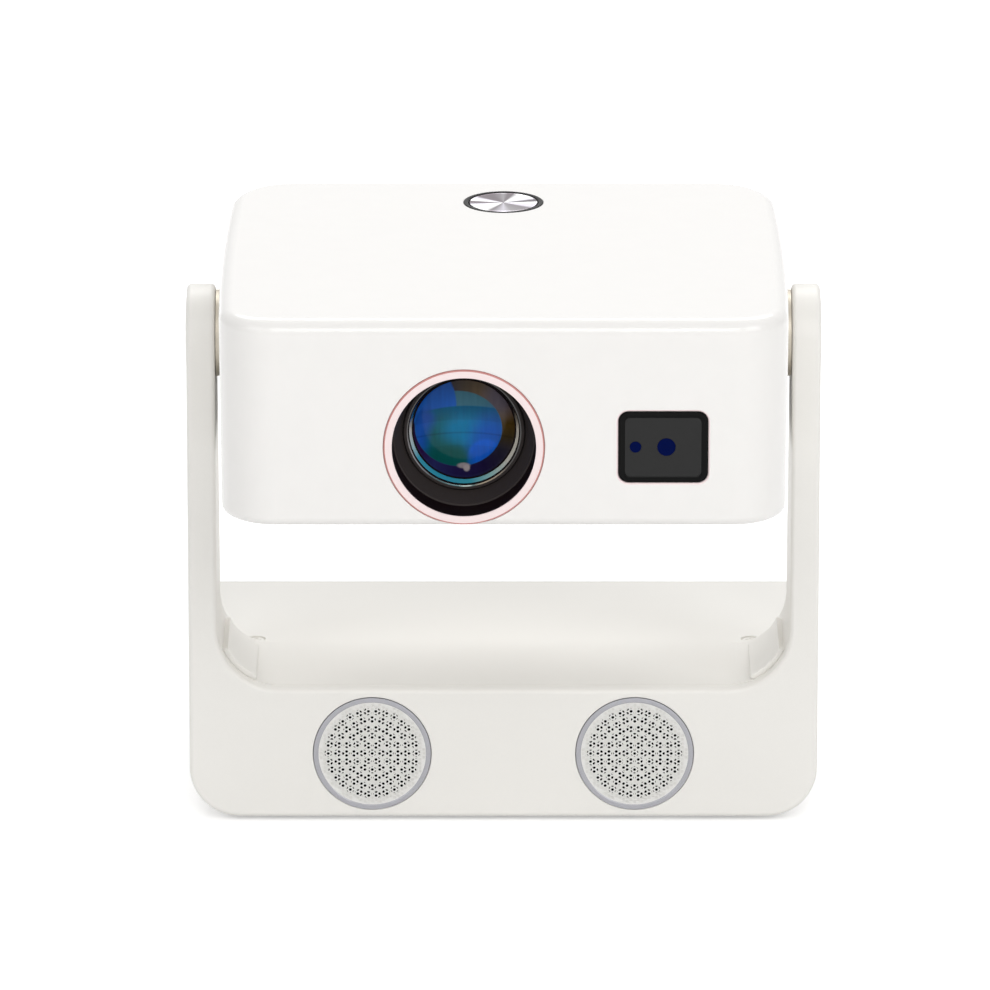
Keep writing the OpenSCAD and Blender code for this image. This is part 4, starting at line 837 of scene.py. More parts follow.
class PROJECTOR_OT_body(bpy.types.Operator):
    """Rounded body shell with its openings"""

    bl_idname = "projector.body"
    bl_label = "Body shell"

    def execute(self, context):
        s, w, b = context.scene.projector_body, context.scene.projector_window, context.scene.projector_button
        lens = context.scene.projector_lens
        deep, past = 6 * MM, 5 * MM  # how far the cutters go in, and how far past the body
        shell = lofted("body_shell", block_loops(s))
        stop = PANEL_LOW.y - 1 * MM
        cavity = lofted("cavity", block_loops(s, s.wall, stop))
        middle_z = (BODY_LOW.z + BODY_HIGH.z) / 2
        rows = flare(s.lip_r, 0)[1:]
        # The first and last loops are flat and clear of the body, so both ends of the cutter are flat
        loops = [[(u, stop - 2 * MM, middle_z + v) for u, v in rear_outline(s, 0)]]
        for grow, d in rows:
            loops.append([(u, rear_surface(s, u) + d, middle_z + v) for u, v in rear_outline(s, grow)])
        loops.append([(u, BODY_HIGH.y + 3 * MM, middle_z + v) for u, v in rear_outline(s, rows[-1][0])])
        rear = lofted("rear", loops)
        port_r = RING_HIGH.x - LENS_AXIS.x - lens.ring_less + 0.1 * MM
        at = (LENS_AXIS.x, BODY_LOW.y, LENS_AXIS.z)
        port = cutter(lambda g: circle(port_r + g), "Y", at, deep, s.port_lip, -1)
        window = cutter(
            lambda g: round_rect(w.width + 2 * g, w.height + 2 * g, w.corner_r + g), "Y",
            (WINDOW_AXIS.x, BODY_LOW.y, WINDOW_AXIS.z), deep, s.window_lip, -1,
        )
        button_r = b.cap_d / 2 + b.ring_w + 0.05 * MM
        button = cutter(lambda g: circle(button_r + g), "Z", BUTTON_AT, past, 0.25 * MM, 1)
        hub_r = 10.05 * MM
        hubs = prism("hubs", circle(hub_r, 48), "X", BODY_LOW.x - past, BODY_HIGH.x + past, HINGE)
        # Vents in the underside, right of the middle
        slots_x, slots_y = (BODY_HIGH.x - s.rear_rim - 24.4 * MM) / 2 + 2 * MM, HINGE.y + 10 * MM
        outline = round_rect(s.slot_w, s.slot_len, s.slot_w * 0.49, 6)
        slots = [
            prism("slot", outline, "Z", -past, past, (slots_x + k * s.vent_pitch, slots_y, BODY_LOW.z))
            for k in range(-s.vents, s.vents + 1)
        ]
        combine(shell, [cavity, rear, port, window, button, hubs, joined("slots", slots)])
        reach_x, reach_z = w.width / 2 + s.window_lip, w.height / 2 + s.window_lip
        lip_low, lip_high = BODY_LOW.y + 0.002 * MM, BODY_LOW.y + s.window_lip * 0.98

        def on_window_lip(p):
            near = abs(p.x - WINDOW_AXIS.x) < reach_x and abs(p.z - WINDOW_AXIS.z) < reach_z
            return near and lip_low < p.y < lip_high

        paint(shell, 1, on_window_lip)
        dress(shell, "projector", "body rose", "outer_shell")
        return {"FINISHED"}


class PROJECTOR_OT_rear(bpy.types.Operator):
    """Rear panel with vents, socket openings and screws"""

    bl_idname = "projector.rear"
    bl_label = "Rear panel"

    def execute(self, context):
        s = context.scene.projector_body
        middle_z = (PANEL_LOW.z + PANEL_HIGH.z) / 2
        fan_low, fan_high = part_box("fan_frame")
        fan = (fan_low + fan_high) / 2
        screws_low, screws_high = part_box("case_screws")
        sockets_low, sockets_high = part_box("signal_sockets")
        power = centre_of("power_socket")
        holes = []

        def hole(x, z, w, h, r, steps=6):
            holes.append(lambda g: round_rect(w + 2 * g, h + 2 * g, r + g, steps, x, z - middle_z))

        for k in range(-s.vents, s.vents + 1):
            vent_w = fan_high.x - fan_low.x - 6 * MM - abs(k) * 1.6 * MM
            hole(fan.x, fan.z + k * s.vent_pitch, vent_w, s.vent_h, s.vent_h * 0.48)
        picture_x, data_x = sockets_high.x - 7.5 * MM, sockets_high.x - 24 * MM
        phones_w, power_w, sink_w = 7.6 * MM, 10.4 * MM, 4.8 * MM
        hole(picture_x, sockets_low.z + 3 * MM, 15.6 * MM, 6.6 * MM, 0.5 * MM, 3)
        hole(data_x, sockets_low.z + 3.5 * MM, 14.8 * MM, 7.6 * MM, 0.5 * MM, 3)
        hole(sockets_low.x + 4 * MM, sockets_low.z + 4 * MM, phones_w, phones_w, phones_w / 2, 10)
        hole(power.x, power.z, power_w, power_w, power_w / 2, 12)
        screw_r = 2.2 * MM
        # The corners of the rear are rounder than the case's, so its screws stand further in
        inwards = s.side_rim - 8 * MM
        spots = [
            (x, z)
            for x in (screws_low.x + screw_r + inwards, screws_high.x - screw_r - inwards)
            for z in (screws_low.z + screw_r, screws_high.z - screw_r)
        ]
        for x, z in spots:
            hole(x, z, sink_w, sink_w, sink_w / 2, 8)
        plate = pierced_plate(
            "rear_vent_panel", lambda g: rear_outline(s, g - FIT), holes, PANEL_HIGH.y - PANEL_LOW.y, 0.3 * MM,
            lambda u, v, d: (u, PANEL_HIGH.y + d, middle_z + v),
        )
        dress(plate, "projector", "black_matt", "rear_panel")
        backwards = Matrix.Rotation(-math.pi / 2, 4, "X")
        places = [Matrix.Translation((x, PANEL_HIGH.y - 0.3 * MM, z)) @ backwards for x, z in spots]
        heads = joined("case_screw_heads", [screw_head(place, screw_r, 1 * MM) for place in places])
        dress(heads, "projector", "engine", "case_screws")
        return {"FINISHED"}


def screw_head(matrix, r, t):
    """Domed screw head with a cross recess; its top is at z = 0 of the matrix"""
    rim = t * 0.45
    angles = [math.radians(a) for a in (20, 40, 60, 78)]
    profile = [(0, -t), (r, -t), (r, -rim)]
    profile += [(r * math.cos(a), -rim * (1 - math.sin(a))) for a in angles]
    profile += [(0, 0)]
    head = turned("screw_head", profile, (0, 0, 0), "Z", 40)
    arm, slot = r * 0.62, r * 0.15
    for turn in (0, 90):
        bar = prism("bar", round_rect(2 * arm, 2 * slot, slot * 0.5, 2), "Z", -t * 0.6, t)
        bar.data.transform(Matrix.Rotation(math.radians(turn), 4, "Z"))
        combine(head, [bar])
    head.data.transform(matrix)
    return head


# --- Lens, window and button ----------------------------------------------------------------------


class PROJECTOR_OT_lens(bpy.types.Operator):
    """Trim ring, tunnel, focus cell and front lens"""

    bl_idname = "projector.lens"
    bl_label = "Lens"

    def execute(self, context):
        s = context.scene.projector_lens
        at = (LENS_AXIS.x, 0, LENS_AXIS.z)
        outer = RING_HIGH.x - LENS_AXIS.x - s.ring_less
        inner = outer - s.ring_w
        front, back = RING_LOW.y, RING_HIGH.y
        r, leaf = 0.4 * MM, 0.45 * MM
        profile = [
            (outer, back), (outer, front + r + 0.2 * MM), (outer, front + r),
            (outer - r * 0.3, front + r * 0.3), (outer - r - 0.1 * MM, front),
            (inner + 0.2 * MM, front), (inner + 0.05 * MM, front + 0.05 * MM), (inner, front + 0.2 * MM),
            (inner, front + leaf), (inner + 1 * MM, front + leaf), (inner + 1 * MM, back),
        ]
        ring = turned("lens_rose_ring", profile, at, "Y", 160, closed=True)

        def from_axis(p):
            return math.hypot(p.x - at[0], p.z - at[2])

        paint(ring, 1, lambda p: from_axis(p) > outer - r - 0.05 * MM)
        dress(ring, "projector", "rose rose_line", "lens_trim_ring")

        # The tunnel narrows a little to a fine lip, then runs in as a cone to the focus cell
        cell_r = CELL_HIGH.x - LENS_AXIS.x
        front_y = CELL_LOW.y + s.cell_back
        step_y = BODY_LOW.y + s.tunnel_step
        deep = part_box("lens_hood")[1].y
        small = 0.3 * MM
        bore = inner - 0.02 * MM
        lip = bore - s.step_in
        throat = cell_r + 0.3 * MM
        profile = [
            (bore, front + leaf), (lip + small, step_y - small), (lip + small * 0.3, step_y - small * 0.3),
            (lip, step_y), (lip + small * 0.2, step_y + small * 0.6), (lip - 0.1 * MM, step_y + small),
            (throat, front_y + 0.4 * MM), (throat, deep), (bore + 0.9 * MM, deep), (bore + 0.9 * MM, front + leaf),
        ]
        hood = turned("lens_tunnel", profile, at, "Y", 160, closed=True)
        paint(hood, 1, lambda p: p.y < step_y - small * 1.1)
        dress(hood, "projector", "tunnel tunnel_mouth", "lens_hood", 30)

        lens_r = s.lens_d / 2
        lip_r = lens_r - s.lip_w
        line_in, line_out = lip_r + 0.3 * MM, lip_r + s.line_w
        profile = [
            (cell_r, front_y + 0.3 * MM), (cell_r - 0.3 * MM, front_y), (line_out, front_y),
            (line_in, front_y + 0.1 * MM), (lip_r, front_y + 0.4 * MM), (lip_r, front_y + 1 * MM),
            (lens_r, front_y + 1 * MM), (lens_r, CELL_HIGH.y), (cell_r, CELL_HIGH.y),
        ]
        ring = turned("focus_ring", profile, at, "Y", 128, closed=True)
        # The lug behind carries the nut of the lead screw and the bush of the guide rod
        lug_y, lug_z = CELL_LOW.y + 14 * MM, CELL_HIGH.z - at[2]
        lug_low = cell_r - 3 * MM
        outline = round_rect(16 * MM, lug_z - lug_low, 1.2 * MM, 5, 0, (lug_z + lug_low) / 2)
        lug = prism("lug", outline, "Y", lug_y, lug_y + 5 * MM, at)
        bores = []
        for c in (centre_of("lead_screw"), centre_of("guide_rod")):
            outline = circle(1.56 * MM, 40, c.x - at[0], c.z - at[2])
            bores.append(prism("bore", outline, "Y", lug_y - 1 * MM, lug_y + 6 * MM, at))
        combine(lug, bores)
        cell = joined("focus_tube", [ring, lug])
        middle = line_in - 0.05 * MM
        paint(cell, 2, lambda p: from_axis(p) < middle)
        # The polished line on the lip carries a painted reflection
        paint(cell, 1, lambda p: middle < from_axis(p) < line_out and p.y < front_y + 0.2 * MM)
        dress(cell, "focus_carriage", "tunnel lip_line tunnel_mouth", "focus_cell")

        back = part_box("front_lens")[1].y - 1 * MM
        glass = lens_r - 0.05 * MM
        edge = lip_r - s.edge_w
        ball = (glass**2 + s.bulge**2) / (2 * s.bulge)
        crown = front_y + 1.1 * MM
        steps = 20
        radii = [edge * i / steps for i in range(steps + 1)]
        dome = [(rr, crown + ball - math.sqrt(ball**2 - rr**2)) for rr in radii]
        rise = dome[-1][1]
        # A narrow groove, then the ground edge of the glass, which carries a painted reflection of the light
        groove, ground_in, ground_out = edge + 0.05 * MM, edge + 0.55 * MM, lip_r - 0.08 * MM
        dome += [
            (groove, rise + 0.2 * MM), (edge + 0.4 * MM, rise + 0.2 * MM),
            (ground_in, rise - 0.15 * MM), (ground_out, front_y + 1.2 * MM),
            (lip_r - 0.02 * MM, front_y + 1.3 * MM), (glass, front_y + 1.9 * MM), (glass, back), (0, back),
        ]
        lens = turned("front_lens_glass", dome, at, "Y", 128)
        paint(lens, 2, lambda p: from_axis(p) > edge + 0.02 * MM)
        paint(lens, 1, lambda p: ground_in < from_axis(p) < ground_out and p.y < rise)
        dress(lens, "focus_carriage", "coated_lens lens_edge tunnel_mouth", "front_lens")
        return {"FINISHED"}


class PROJECTOR_OT_window(bpy.types.Operator):
    """Sensor window with its black border and round glasses"""

    bl_idname = "projector.window"
    bl_label = "Sensor window"

    def execute(self, context):
        s = context.scene.projector_window
        at = (WINDOW_AXIS.x, BODY_LOW.y, WINDOW_AXIS.z)
        glass_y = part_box("window_panel")[0].y - BODY_LOW.y

        def loop(grow, d):
            w, h = s.width - 0.2 * MM + 2 * grow, s.height - 0.2 * MM + 2 * grow
            return [along("Y", at, u, v, d) for u, v in round_rect(w, h, max(s.corner_r + grow, 0.6 * MM), 10)]

        # The border is level on its outside and then curves down to the glass
        level = 1.2 * MM
        rows = [(0, 6 * MM), (0, 0.35 * MM), (-0.1 * MM, 0.1 * MM), (-0.35 * MM, 0)]
        rows += [(-0.9 * MM, 0), (-level, 0.06 * MM)]
        for f in (t / 6 for t in range(1, 7)):
            rows.append((-level - (s.border - level) * f, 0.06 * MM + (glass_y + 0.1 * MM) * (f * f)))
        rows += [(-s.border, 6 * MM)]
        bezel = lofted("window_border", [loop(g, d) for g, d in rows], closed=True)
        dress(bezel, "projector", "black_gloss", "window_bezel")

        camera_x, sensor_x = centre_of("camera_module").x, centre_of("distance_sensor").x
        less = s.border - 0.2 * MM
        panel = pierced_plate(
            "window_smoked_panel",
            lambda g: round_rect(s.width - 2 * less + 2 * g, s.height - 2 * less + 2 * g, s.corner_r - 1.5 * MM, 8),
            [
                lambda g: circle(s.camera_d / 2 + 0.05 * MM + g, 48, camera_x - at[0]),
                lambda g: circle(s.sensor_d / 2 + 0.05 * MM + g, 40, sensor_x - at[0]),
            ],
            1.2 * MM, 0.08 * MM,
            lambda u, v, d: (at[0] + u, at[1] + glass_y - d, at[2] + v),
        )
        dress(panel, "projector", "smoked", "window_panel")
        for name, x, d in (("camera_glass", camera_x, s.camera_d), ("sensor_glass", sensor_x, s.sensor_d)):
            r, back = d / 2, glass_y + 1.4 * MM
            profile = [(0, back), (r, back), (r, glass_y + 0.35 * MM), (r - 0.15 * MM, glass_y + 0.12 * MM)]
            profile += [(r * f, glass_y + 0.05 * MM + 0.06 * MM * f * f) for f in (0.75, 0.5, 0.25, 0)]
            dress(turned(name, profile, (x, at[1], at[2]), "Y", 48), "projector", "navy")
        return {"FINISHED"}


class PROJECTOR_OT_button(bpy.types.Operator):
    """Spun metal power button and its black ring"""

    bl_idname = "projector.button"
    bl_label = "Power button"

    def execute(self, context):
        s = context.scene.projector_button
        r, hole = s.cap_d / 2, s.cap_d / 2 + s.ring_w
        top, low = 0.1 * MM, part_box("button_ring")[0].z - BODY_HIGH.z
        gap, ledge = r + 0.12 * MM, r - 2.5 * MM
        profile = [
            (hole, low), (hole, top - 0.25 * MM), (hole - 0.08 * MM, top - 0.08 * MM), (hole - 0.25 * MM, top),
            (r + 0.75 * MM, top), (r + 0.45 * MM, top - 0.15 * MM), (gap, top - 0.6 * MM),
            (gap, low + 1 * MM), (ledge, low + 1 * MM), (ledge, low),
        ]
        ring = turned("button_black_ring", profile, BUTTON_AT, "Z", 128, closed=True)
        dress(ring, "projector", "black_gloss", "button_ring")
        # Hollow underneath, so that the spring stays clear when the button is pressed
        skirt, edge = 1.4 * MM, 0.22 * MM
        core, bore = 0.6 * MM, r - 3.8 * MM
        profile = [
            (0, -core), (bore, -core), (bore, -skirt), (r, -skirt), (r, -edge),
            (r - edge * 0.3, -edge * 0.3), (r - edge, 0), (r - 0.55 * MM, 0), (r - 0.62 * MM, -0.05 * MM),
        ]
        # The face is dished by 0.12 mm, with a small centre mark from the lathe
        face_r = r - 0.7 * MM
        profile += [(face_r * f, -0.06 * MM - 0.12 * MM * (1 - f * f)) for f in (i / 12 for i in range(12, 0, -1))]
        profile += [(0.35 * MM, -0.18 * MM), (0.2 * MM, -0.3 * MM), (0, -0.3 * MM)]
        cap = turned("button_spun_cap", profile, BUTTON_AT, "Z", 128)
        foot, inside, outside = CAP_LOW.z - BODY_HIGH.z, r - 2.6 * MM, r - 1.6 * MM
        profile = [
            (inside, -skirt), (inside, foot + 1 * MM), (outside, foot + 1 * MM),
            (outside, foot), (bore, foot), (bore, -skirt),
        ]
        stem = turned("button_stem", profile, BUTTON_AT, "Z", 64, closed=True)
        dress(cap, "power_button", "spun", "button_cap")
        dress(stem, "power_button", "fins")
        return {"FINISHED"}


# --- Stand ----------------------------------------------------------------------------------------


def arm_slope(s):
    """Direction of the normal of the arms' rear faces, in radians above +Y"""
    run, rise = s.arm_back, s.base_top - HINGE.z
    return math.atan2(rise, run) + math.acos(s.head_r / math.hypot(run, rise))


def arm_rear(s, z, inset):
    """Where the rear face of the arms is at the height z"""
    turn = arm_slope(s)
    return HINGE.y + (s.head_r - inset - (z - HINGE.z) * math.sin(turn)) / math.cos(turn)


def side_outline(s, inset):
    """Side outline of the stand in y and z; it runs below the underside, where the front outline ends it"""
    turn = math.degrees(arm_slope(s))
    head, back, foot = s.head_r - inset, s.back_r - inset, s.foot_r + inset
    foot_z = s.base_top + s.foot_r
    outline = arc(HINGE.y, HINGE.z, head, turn, 180, 56)
    outline += [(HINGE.y - head, -20 * MM), (COVER_HIGH.y - inset, -20 * MM)]
    outline += arc(COVER_HIGH.y - s.back_r, s.base_top - s.back_r, back, 0, 90, 6)
    return outline + arc(arm_rear(s, foot_z, -s.foot_r), foot_z, foot, 270, 180 + turn, 8)


def front_outline(s, inset):
    """Front outline of the stand in x and z, an upright U"""
    out, gap = STAND_HIGH.x - inset, STAND_HIGH.x - s.arm_t + inset
    ro, ri = s.outer_r - inset, s.inner_r + inset
    co, ci = STAND_HIGH.x - s.outer_r, STAND_HIGH.x - s.arm_t - s.inner_r
    zo, zi = STAND_LOW.z + s.outer_r, s.base_top + s.inner_r
    top = HINGE.z + s.head_r + 10 * MM
    return (
        [(out, top), (gap, top)]
        + arc(ci, zi, ri, 0, -90, 28) + arc(-ci, zi, ri, -90, -180, 28)
        + [(-gap, top), (-out, top)]
        + arc(-co, zo, ro, 180, 270, 20) + arc(co, zo, ro, 270, 360, 20)
    )


def stand_form(s, inset):
    """The stand's outer form, or the hollow inside it"""
    form = prism("form", front_outline(s, inset), "Y", HINGE.y - 40 * MM, COVER_HIGH.y + 20 * MM)
    across = prism("across", side_outline(s, inset), "X", STAND_LOW.x - 10 * MM, STAND_HIGH.x + 10 * MM)
    return combine(form, [across], "INTERSECT")


def rear_zone(s, gap):
    """Room of the rear cover: a strip up the back of both arms and one along the back of the base"""
    out = STAND_HIGH.x + 10 * MM
    low, top = s.base_top + s.inner_r + 2 * MM - gap, HINGE.z - s.head_r - 4 * MM + gap
    strip = [
        (arm_rear(s, top, s.seam_in + gap), top), (arm_rear(s, low, s.seam_in + gap), low),
        (arm_rear(s, low, -5 * MM), low), (arm_rear(s, top, -5 * MM), top),
    ]
    start, end, over = COVER_HIGH.y - s.seam_in - gap, COVER_HIGH.y + 5 * MM, s.base_top + 5 * MM
    bar = [(start, -20 * MM), (end, -20 * MM), (end, over), (start, over)]
    return joined("zone", [prism("zone", outline, "X", -out, out) for outline in (strip, bar)])


def inner_contour(s, grow, top):
    """Outline in x and z of the opening between the arms, grown into the stand"""
    gap, r = STAND_HIGH.x - s.arm_t + grow, s.inner_r + grow
    ci, zi = STAND_HIGH.x - s.arm_t - s.inner_r, s.base_top + s.inner_r
    return [(-gap, top)] + arc(-ci, zi, r, 180, 270, 28) + arc(ci, zi, r, 270, 360, 28) + [(gap, top)]


class PROJECTOR_OT_stand(bpy.types.Operator):
    """U-shaped stand, its rear cover, caps, corner linings and feet"""

    bl_idname = "projector.stand"
    bl_label = "Stand"

    def execute(self, context):
        s, g = context.scene.projector_stand, context.scene.projector_grille
        shell = bevel(stand_form(s, 0), s.edge_r)
        shell.name = "stand_front_shell"
        plate_low, plate_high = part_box("base_plate")
        plate = plate_high - plate_low
        outline = round_rect(plate.x + 2 * FIT, plate.y + 2 * FIT, 6 * MM, 8)
        at = (0, centre_of("base_plate").y, 0)
        bottom = prism("bottom", outline, "Z", -5 * MM, STAND_LOW.z + s.wall + 1 * MM, at)
        combine(shell, [stand_form(s, s.wall), bottom])
        cover = placed("stand_back_cover", shell.data.copy())
        combine(cover, [rear_zone(s, 0)], "INTERSECT")

        def sink(axis, r, at, depth, lip, sign, steps=96):
            """Cutter for a round sink"""
            return cutter(lambda e: circle(r + e, steps), axis, at, depth, lip, sign)

        tools = [rear_zone(s, s.seam_gap)]
        for node in ("speaker_grille_left", "speaker_grille_right"):
            at = centre_of(node)
            tools.append(sink("Y", g.grille_d / 2 + FIT, (at.x, STAND_LOW.y, at.z), 6 * MM, 0.3 * MM, -1))
        groove_y = STAND_LOW.y + s.groove_in
        contour = inner_contour(s, s.groove_d, HINGE.z + 40 * MM)
        tools.append(prism("groove", contour, "Y", groove_y, groove_y + s.groove_w))
        screws_low, screws_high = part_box("corner_screws")
        screw_r = (screws_high.y - screws_low.y) / 2
        screw_x, screw_y = screws_high.x - screw_r, (screws_low.y + screws_high.y) / 2
        cap_r = centre_of("arm_cap_left").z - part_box("arm_cap_left")[0].z
        for side in (-1, 1):
            at = (side * screw_x, screw_y, s.base_top)
            tools.append(sink("Z", s.sink_r, at, 0.8 * MM, 0.25 * MM, 1, 40))
            at = (side * STAND_HIGH.x, HINGE.y, HINGE.z)
            tools.append(sink("X", cap_r + FIT, at, 3 * MM, 0.25 * MM, side))
            inner = side * (STAND_HIGH.x - s.arm_t)
            tools.append(prism("shaft", circle(6.3 * MM, 40), "X", inner - 3 * MM, inner + 3 * MM, HINGE))
        combine(shell, tools)
        dress(shell, "stand", "stand", "stand_shell")
        dress(cover, "stand", "stand", "stand_rear_cover")

        edge = 0.5 * MM
        for side, node in ((-1, "arm_cap_left"), (1, "arm_cap_right")):
            low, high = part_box(node)
            proud = high.x - STAND_HIGH.x if side > 0 else STAND_LOW.x - low.x
            profile = [(0, -1.6 * MM), (cap_r, -1.6 * MM)]
            profile += [(cap_r - e, proud - edge * 0.3 - d * 0.7) for e, d in rounded(edge, 5)]
            profile += [(cap_r * f, proud - 0.15 * MM * f * f) for f in (0.9, 0.75, 0.5, 0.25, 0)]
            at = (side * STAND_HIGH.x, HINGE.y, HINGE.z)
            cap = turned(node + "_disc", [(r, side * d) for r, d in profile], at, "X", 96)
            dress(cap, "stand", "stand", node)

        # Each lining is a band along the inner corner, between two angles below level, with a round lower end
        ci = STAND_HIGH.x - s.arm_t - s.inner_r
        zi = s.base_top + s.inner_r
        start, end = 24, 64
        end_x, end_z = math.cos(math.radians(-end)), math.sin(math.radians(-end))
        edge = [(d, e) for e, d in rounded(0.45 * MM, 4)]
        for side, node in ((-1, "corner_cover_left"), (1, "corner_cover_right")):
            low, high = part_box(node)
            front = low.y + s.lining_back
            rows = [(e, front + d) for e, d in edge] + [(e, high.y - d) for e, d in reversed(edge)]
            loops = []
            for e, y in rows:
                ro, ri = s.inner_r + 0.1 * MM - e, s.inner_r - s.lining_t + e
                mid, half = (ro + ri) / 2, (ro - ri) / 2
                points = arc(0, 0, ro, -start - math.degrees(e / ro), -end, 24)
                points += arc(mid * end_x, mid * end_z, half, -end - 15, -end - 165, 10)
                points += arc(0, 0, ri, -end, -start - math.degrees(e / ri), 24)
                loops.append([(side * (ci + u), y, zi + v) for u, v in points])
            dress(lofted(node + "_lining", loops), "stand", "stand", node, 50)

        places = [Matrix.Translation((side * screw_x, screw_y, screws_high.z)) for side in (-1, 1)]
        heads = joined("corner_screw_heads", [screw_head(place, screw_r, 0.6 * MM) for place in places])
        dress(heads, "stand", "stand", "corner_screws")

        low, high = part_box("feet")
        foot_r, soft = 7 * MM, 0.6 * MM
        profile = [(0, 0), (foot_r - soft, 0), (foot_r - soft / 4, soft / 4), (foot_r, soft)]
        profile += [(foot_r, high.z), (0, high.z)]
        feet = [
            turned("foot", profile, (x, y, 0), "Z", 48)
            for x in (low.x + foot_r, high.x - foot_r)
            for y in (low.y + foot_r, high.y - foot_r)
        ]
        dress(joined("rubber_feet", feet), "stand", "rubber", "feet")
        return {"FINISHED"}


class PROJECTOR_OT_speakers(bpy.types.Operator):
    """Pressed speaker grilles with their rims"""

    bl_idname = "projector.speakers"
    bl_label = "Speakers"

    def execute(self, context):
        s = context.scene.projector_grille
        r = s.grille_d / 2
        face_r = r - s.rim_w + 0.1 * MM
        openings = [(0.0, 0.0)]
        for ring in range(1, s.rings + 1):
            openings += circle(ring * s.ring_step, 6 * ring)
        # A fine mesh lies over a plate with rings of round openings, so each opening shows as a few black dots
        column = s.mesh_pitch * math.sqrt(3) / 2
        reach = int(face_r / column) + 1
        span = range(-reach, reach + 1)
        cells = [(i * column, (j + 0.5 * (i % 2)) * s.mesh_pitch) for i in span for j in span]
        # Whole holes only, with a margin to the rim
        furthest = face_r - s.mesh_hole / 2 - 0.15 * MM
        holes = [cell for cell in cells if math.hypot(*cell) < furthest]

        def sheet(name, centres, d, steps, thickness, chamfer, at):
            """Round plate with its face at the point at, pierced by round holes"""
            return pierced_plate(
                name, lambda g: circle(face_r, 128),
                [(lambda g, x=x, y=y: circle(d / 2 + g, steps, x, y)) for x, y in centres],
                thickness, chamfer, lambda u, v, out: (at[0] + u, at[1] - out, at[2] + v),
            )

        for side in ("left", "right"):
            node = f"speaker_grille_{side}"
            low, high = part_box(node)
            at = ((low.x + high.x) / 2, STAND_LOW.y, (low.z + high.z) / 2)
            mesh = sheet(f"grille_mesh_{side}", holes, s.mesh_hole, 8, s.mesh_t, 0.08 * MM, at)
            dress(mesh, "stand", "grille", node)
            behind = (at[0], at[1] + s.mesh_t + 0.06 * MM, at[2])
            backing = sheet(f"grille_backing_{side}", openings, s.opening_d, 16, 0.3 * MM, 0.04 * MM, behind)
            dress(backing, "stand", "grille_back")
            soft, deep = 0.3 * MM, 2.4 * MM
            proud, inside = STAND_LOW.y - low.y, r - s.rim_w
            profile = [
                (r, deep), (r, soft - proud), (r - soft * 0.3, soft * 0.3 - proud), (r - soft, -proud),
                (inside + soft * 1.5, -proud), (inside + 0.1 * MM, soft - proud), (inside, 0.1 * MM), (inside, deep),
            ]
            rim = turned(f"grille_rim_{side}", profile, at, "Y", 128, closed=True)
            dress(rim, "stand", "grille_rim")
            face, back = 0.85 * MM, 0.95 * MM
            profile = [(0, face), (face_r, face), (face_r, back), (0, back)]
            cloth = turned(f"grille_cloth_{side}", profile, at, "Y", 96)
            dress(cloth, "stand", "cloth")
        return {"FINISHED"}


# --- Kept pieces ----------------------------------------------------------------------------------

KEPT = {
    "sheet": ["arm_bracket_left", "arm_bracket_right", "chassis"],
    "steel": ["base_screws", "friction_washers", "hinge_nuts", "guide_rod", "button_spring"],
    "weight": ["base_weight"],
    "brass": ["tripod_insert", "lead_screw"],
    "board": ["amplifier_board", "main_board", "switch_board", "imager_board"],
    "hub": ["hinge_hub_left", "hinge_hub_right"],
    "black_matt": ["base_plate", "speaker_basket_left", "speaker_basket_right", "lens_barrel", "fan_frame",
                   "fan_rotor", "power_socket"],
    "magnet": ["speaker_magnet_left", "speaker_magnet_right"],
    "pulp": ["speaker_cone_left", "speaker_cone_right"],
    "rubber": ["arm_cable"],
    "glass": ["rear_lens", "prism"],
    "motor": ["focus_motor"],
    "engine": ["engine_housing"],
    "copper": ["led_board", "heat_pipes"],
    "fins": ["heat_sink"],
    "nickel": ["signal_sockets"],
    "navy": ["camera_module", "distance_sensor"],
}


class PROJECTOR_OT_kept(bpy.types.Operator):
    """Finishes of the pieces inside and underneath"""

    bl_idname = "projector.kept"
    bl_label = "Inner pieces"

    def execute(self, context):
        for key, nodes in KEPT.items():
            for node in nodes:
                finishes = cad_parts[node].data.materials
                finishes.clear()
                finishes.append(M[key])
        return {"FINISHED"}


# --- Stage ----------------------------------------------------------------------------------------


def seen_directly(tree, operation):
    """Whether the camera sees the surface, directly, through glass or as a reflection"""
    light = add(tree, "ShaderNodeLightPath")
    seen = light.outputs["Is Camera Ray"]
    for kind in ("Is Glossy Ray", "Is Transmission Ray"):
        seen = add(tree, "ShaderNodeMath", {0: seen, 1: light.outputs[kind]}, operation=operation).outputs[0]
    return seen


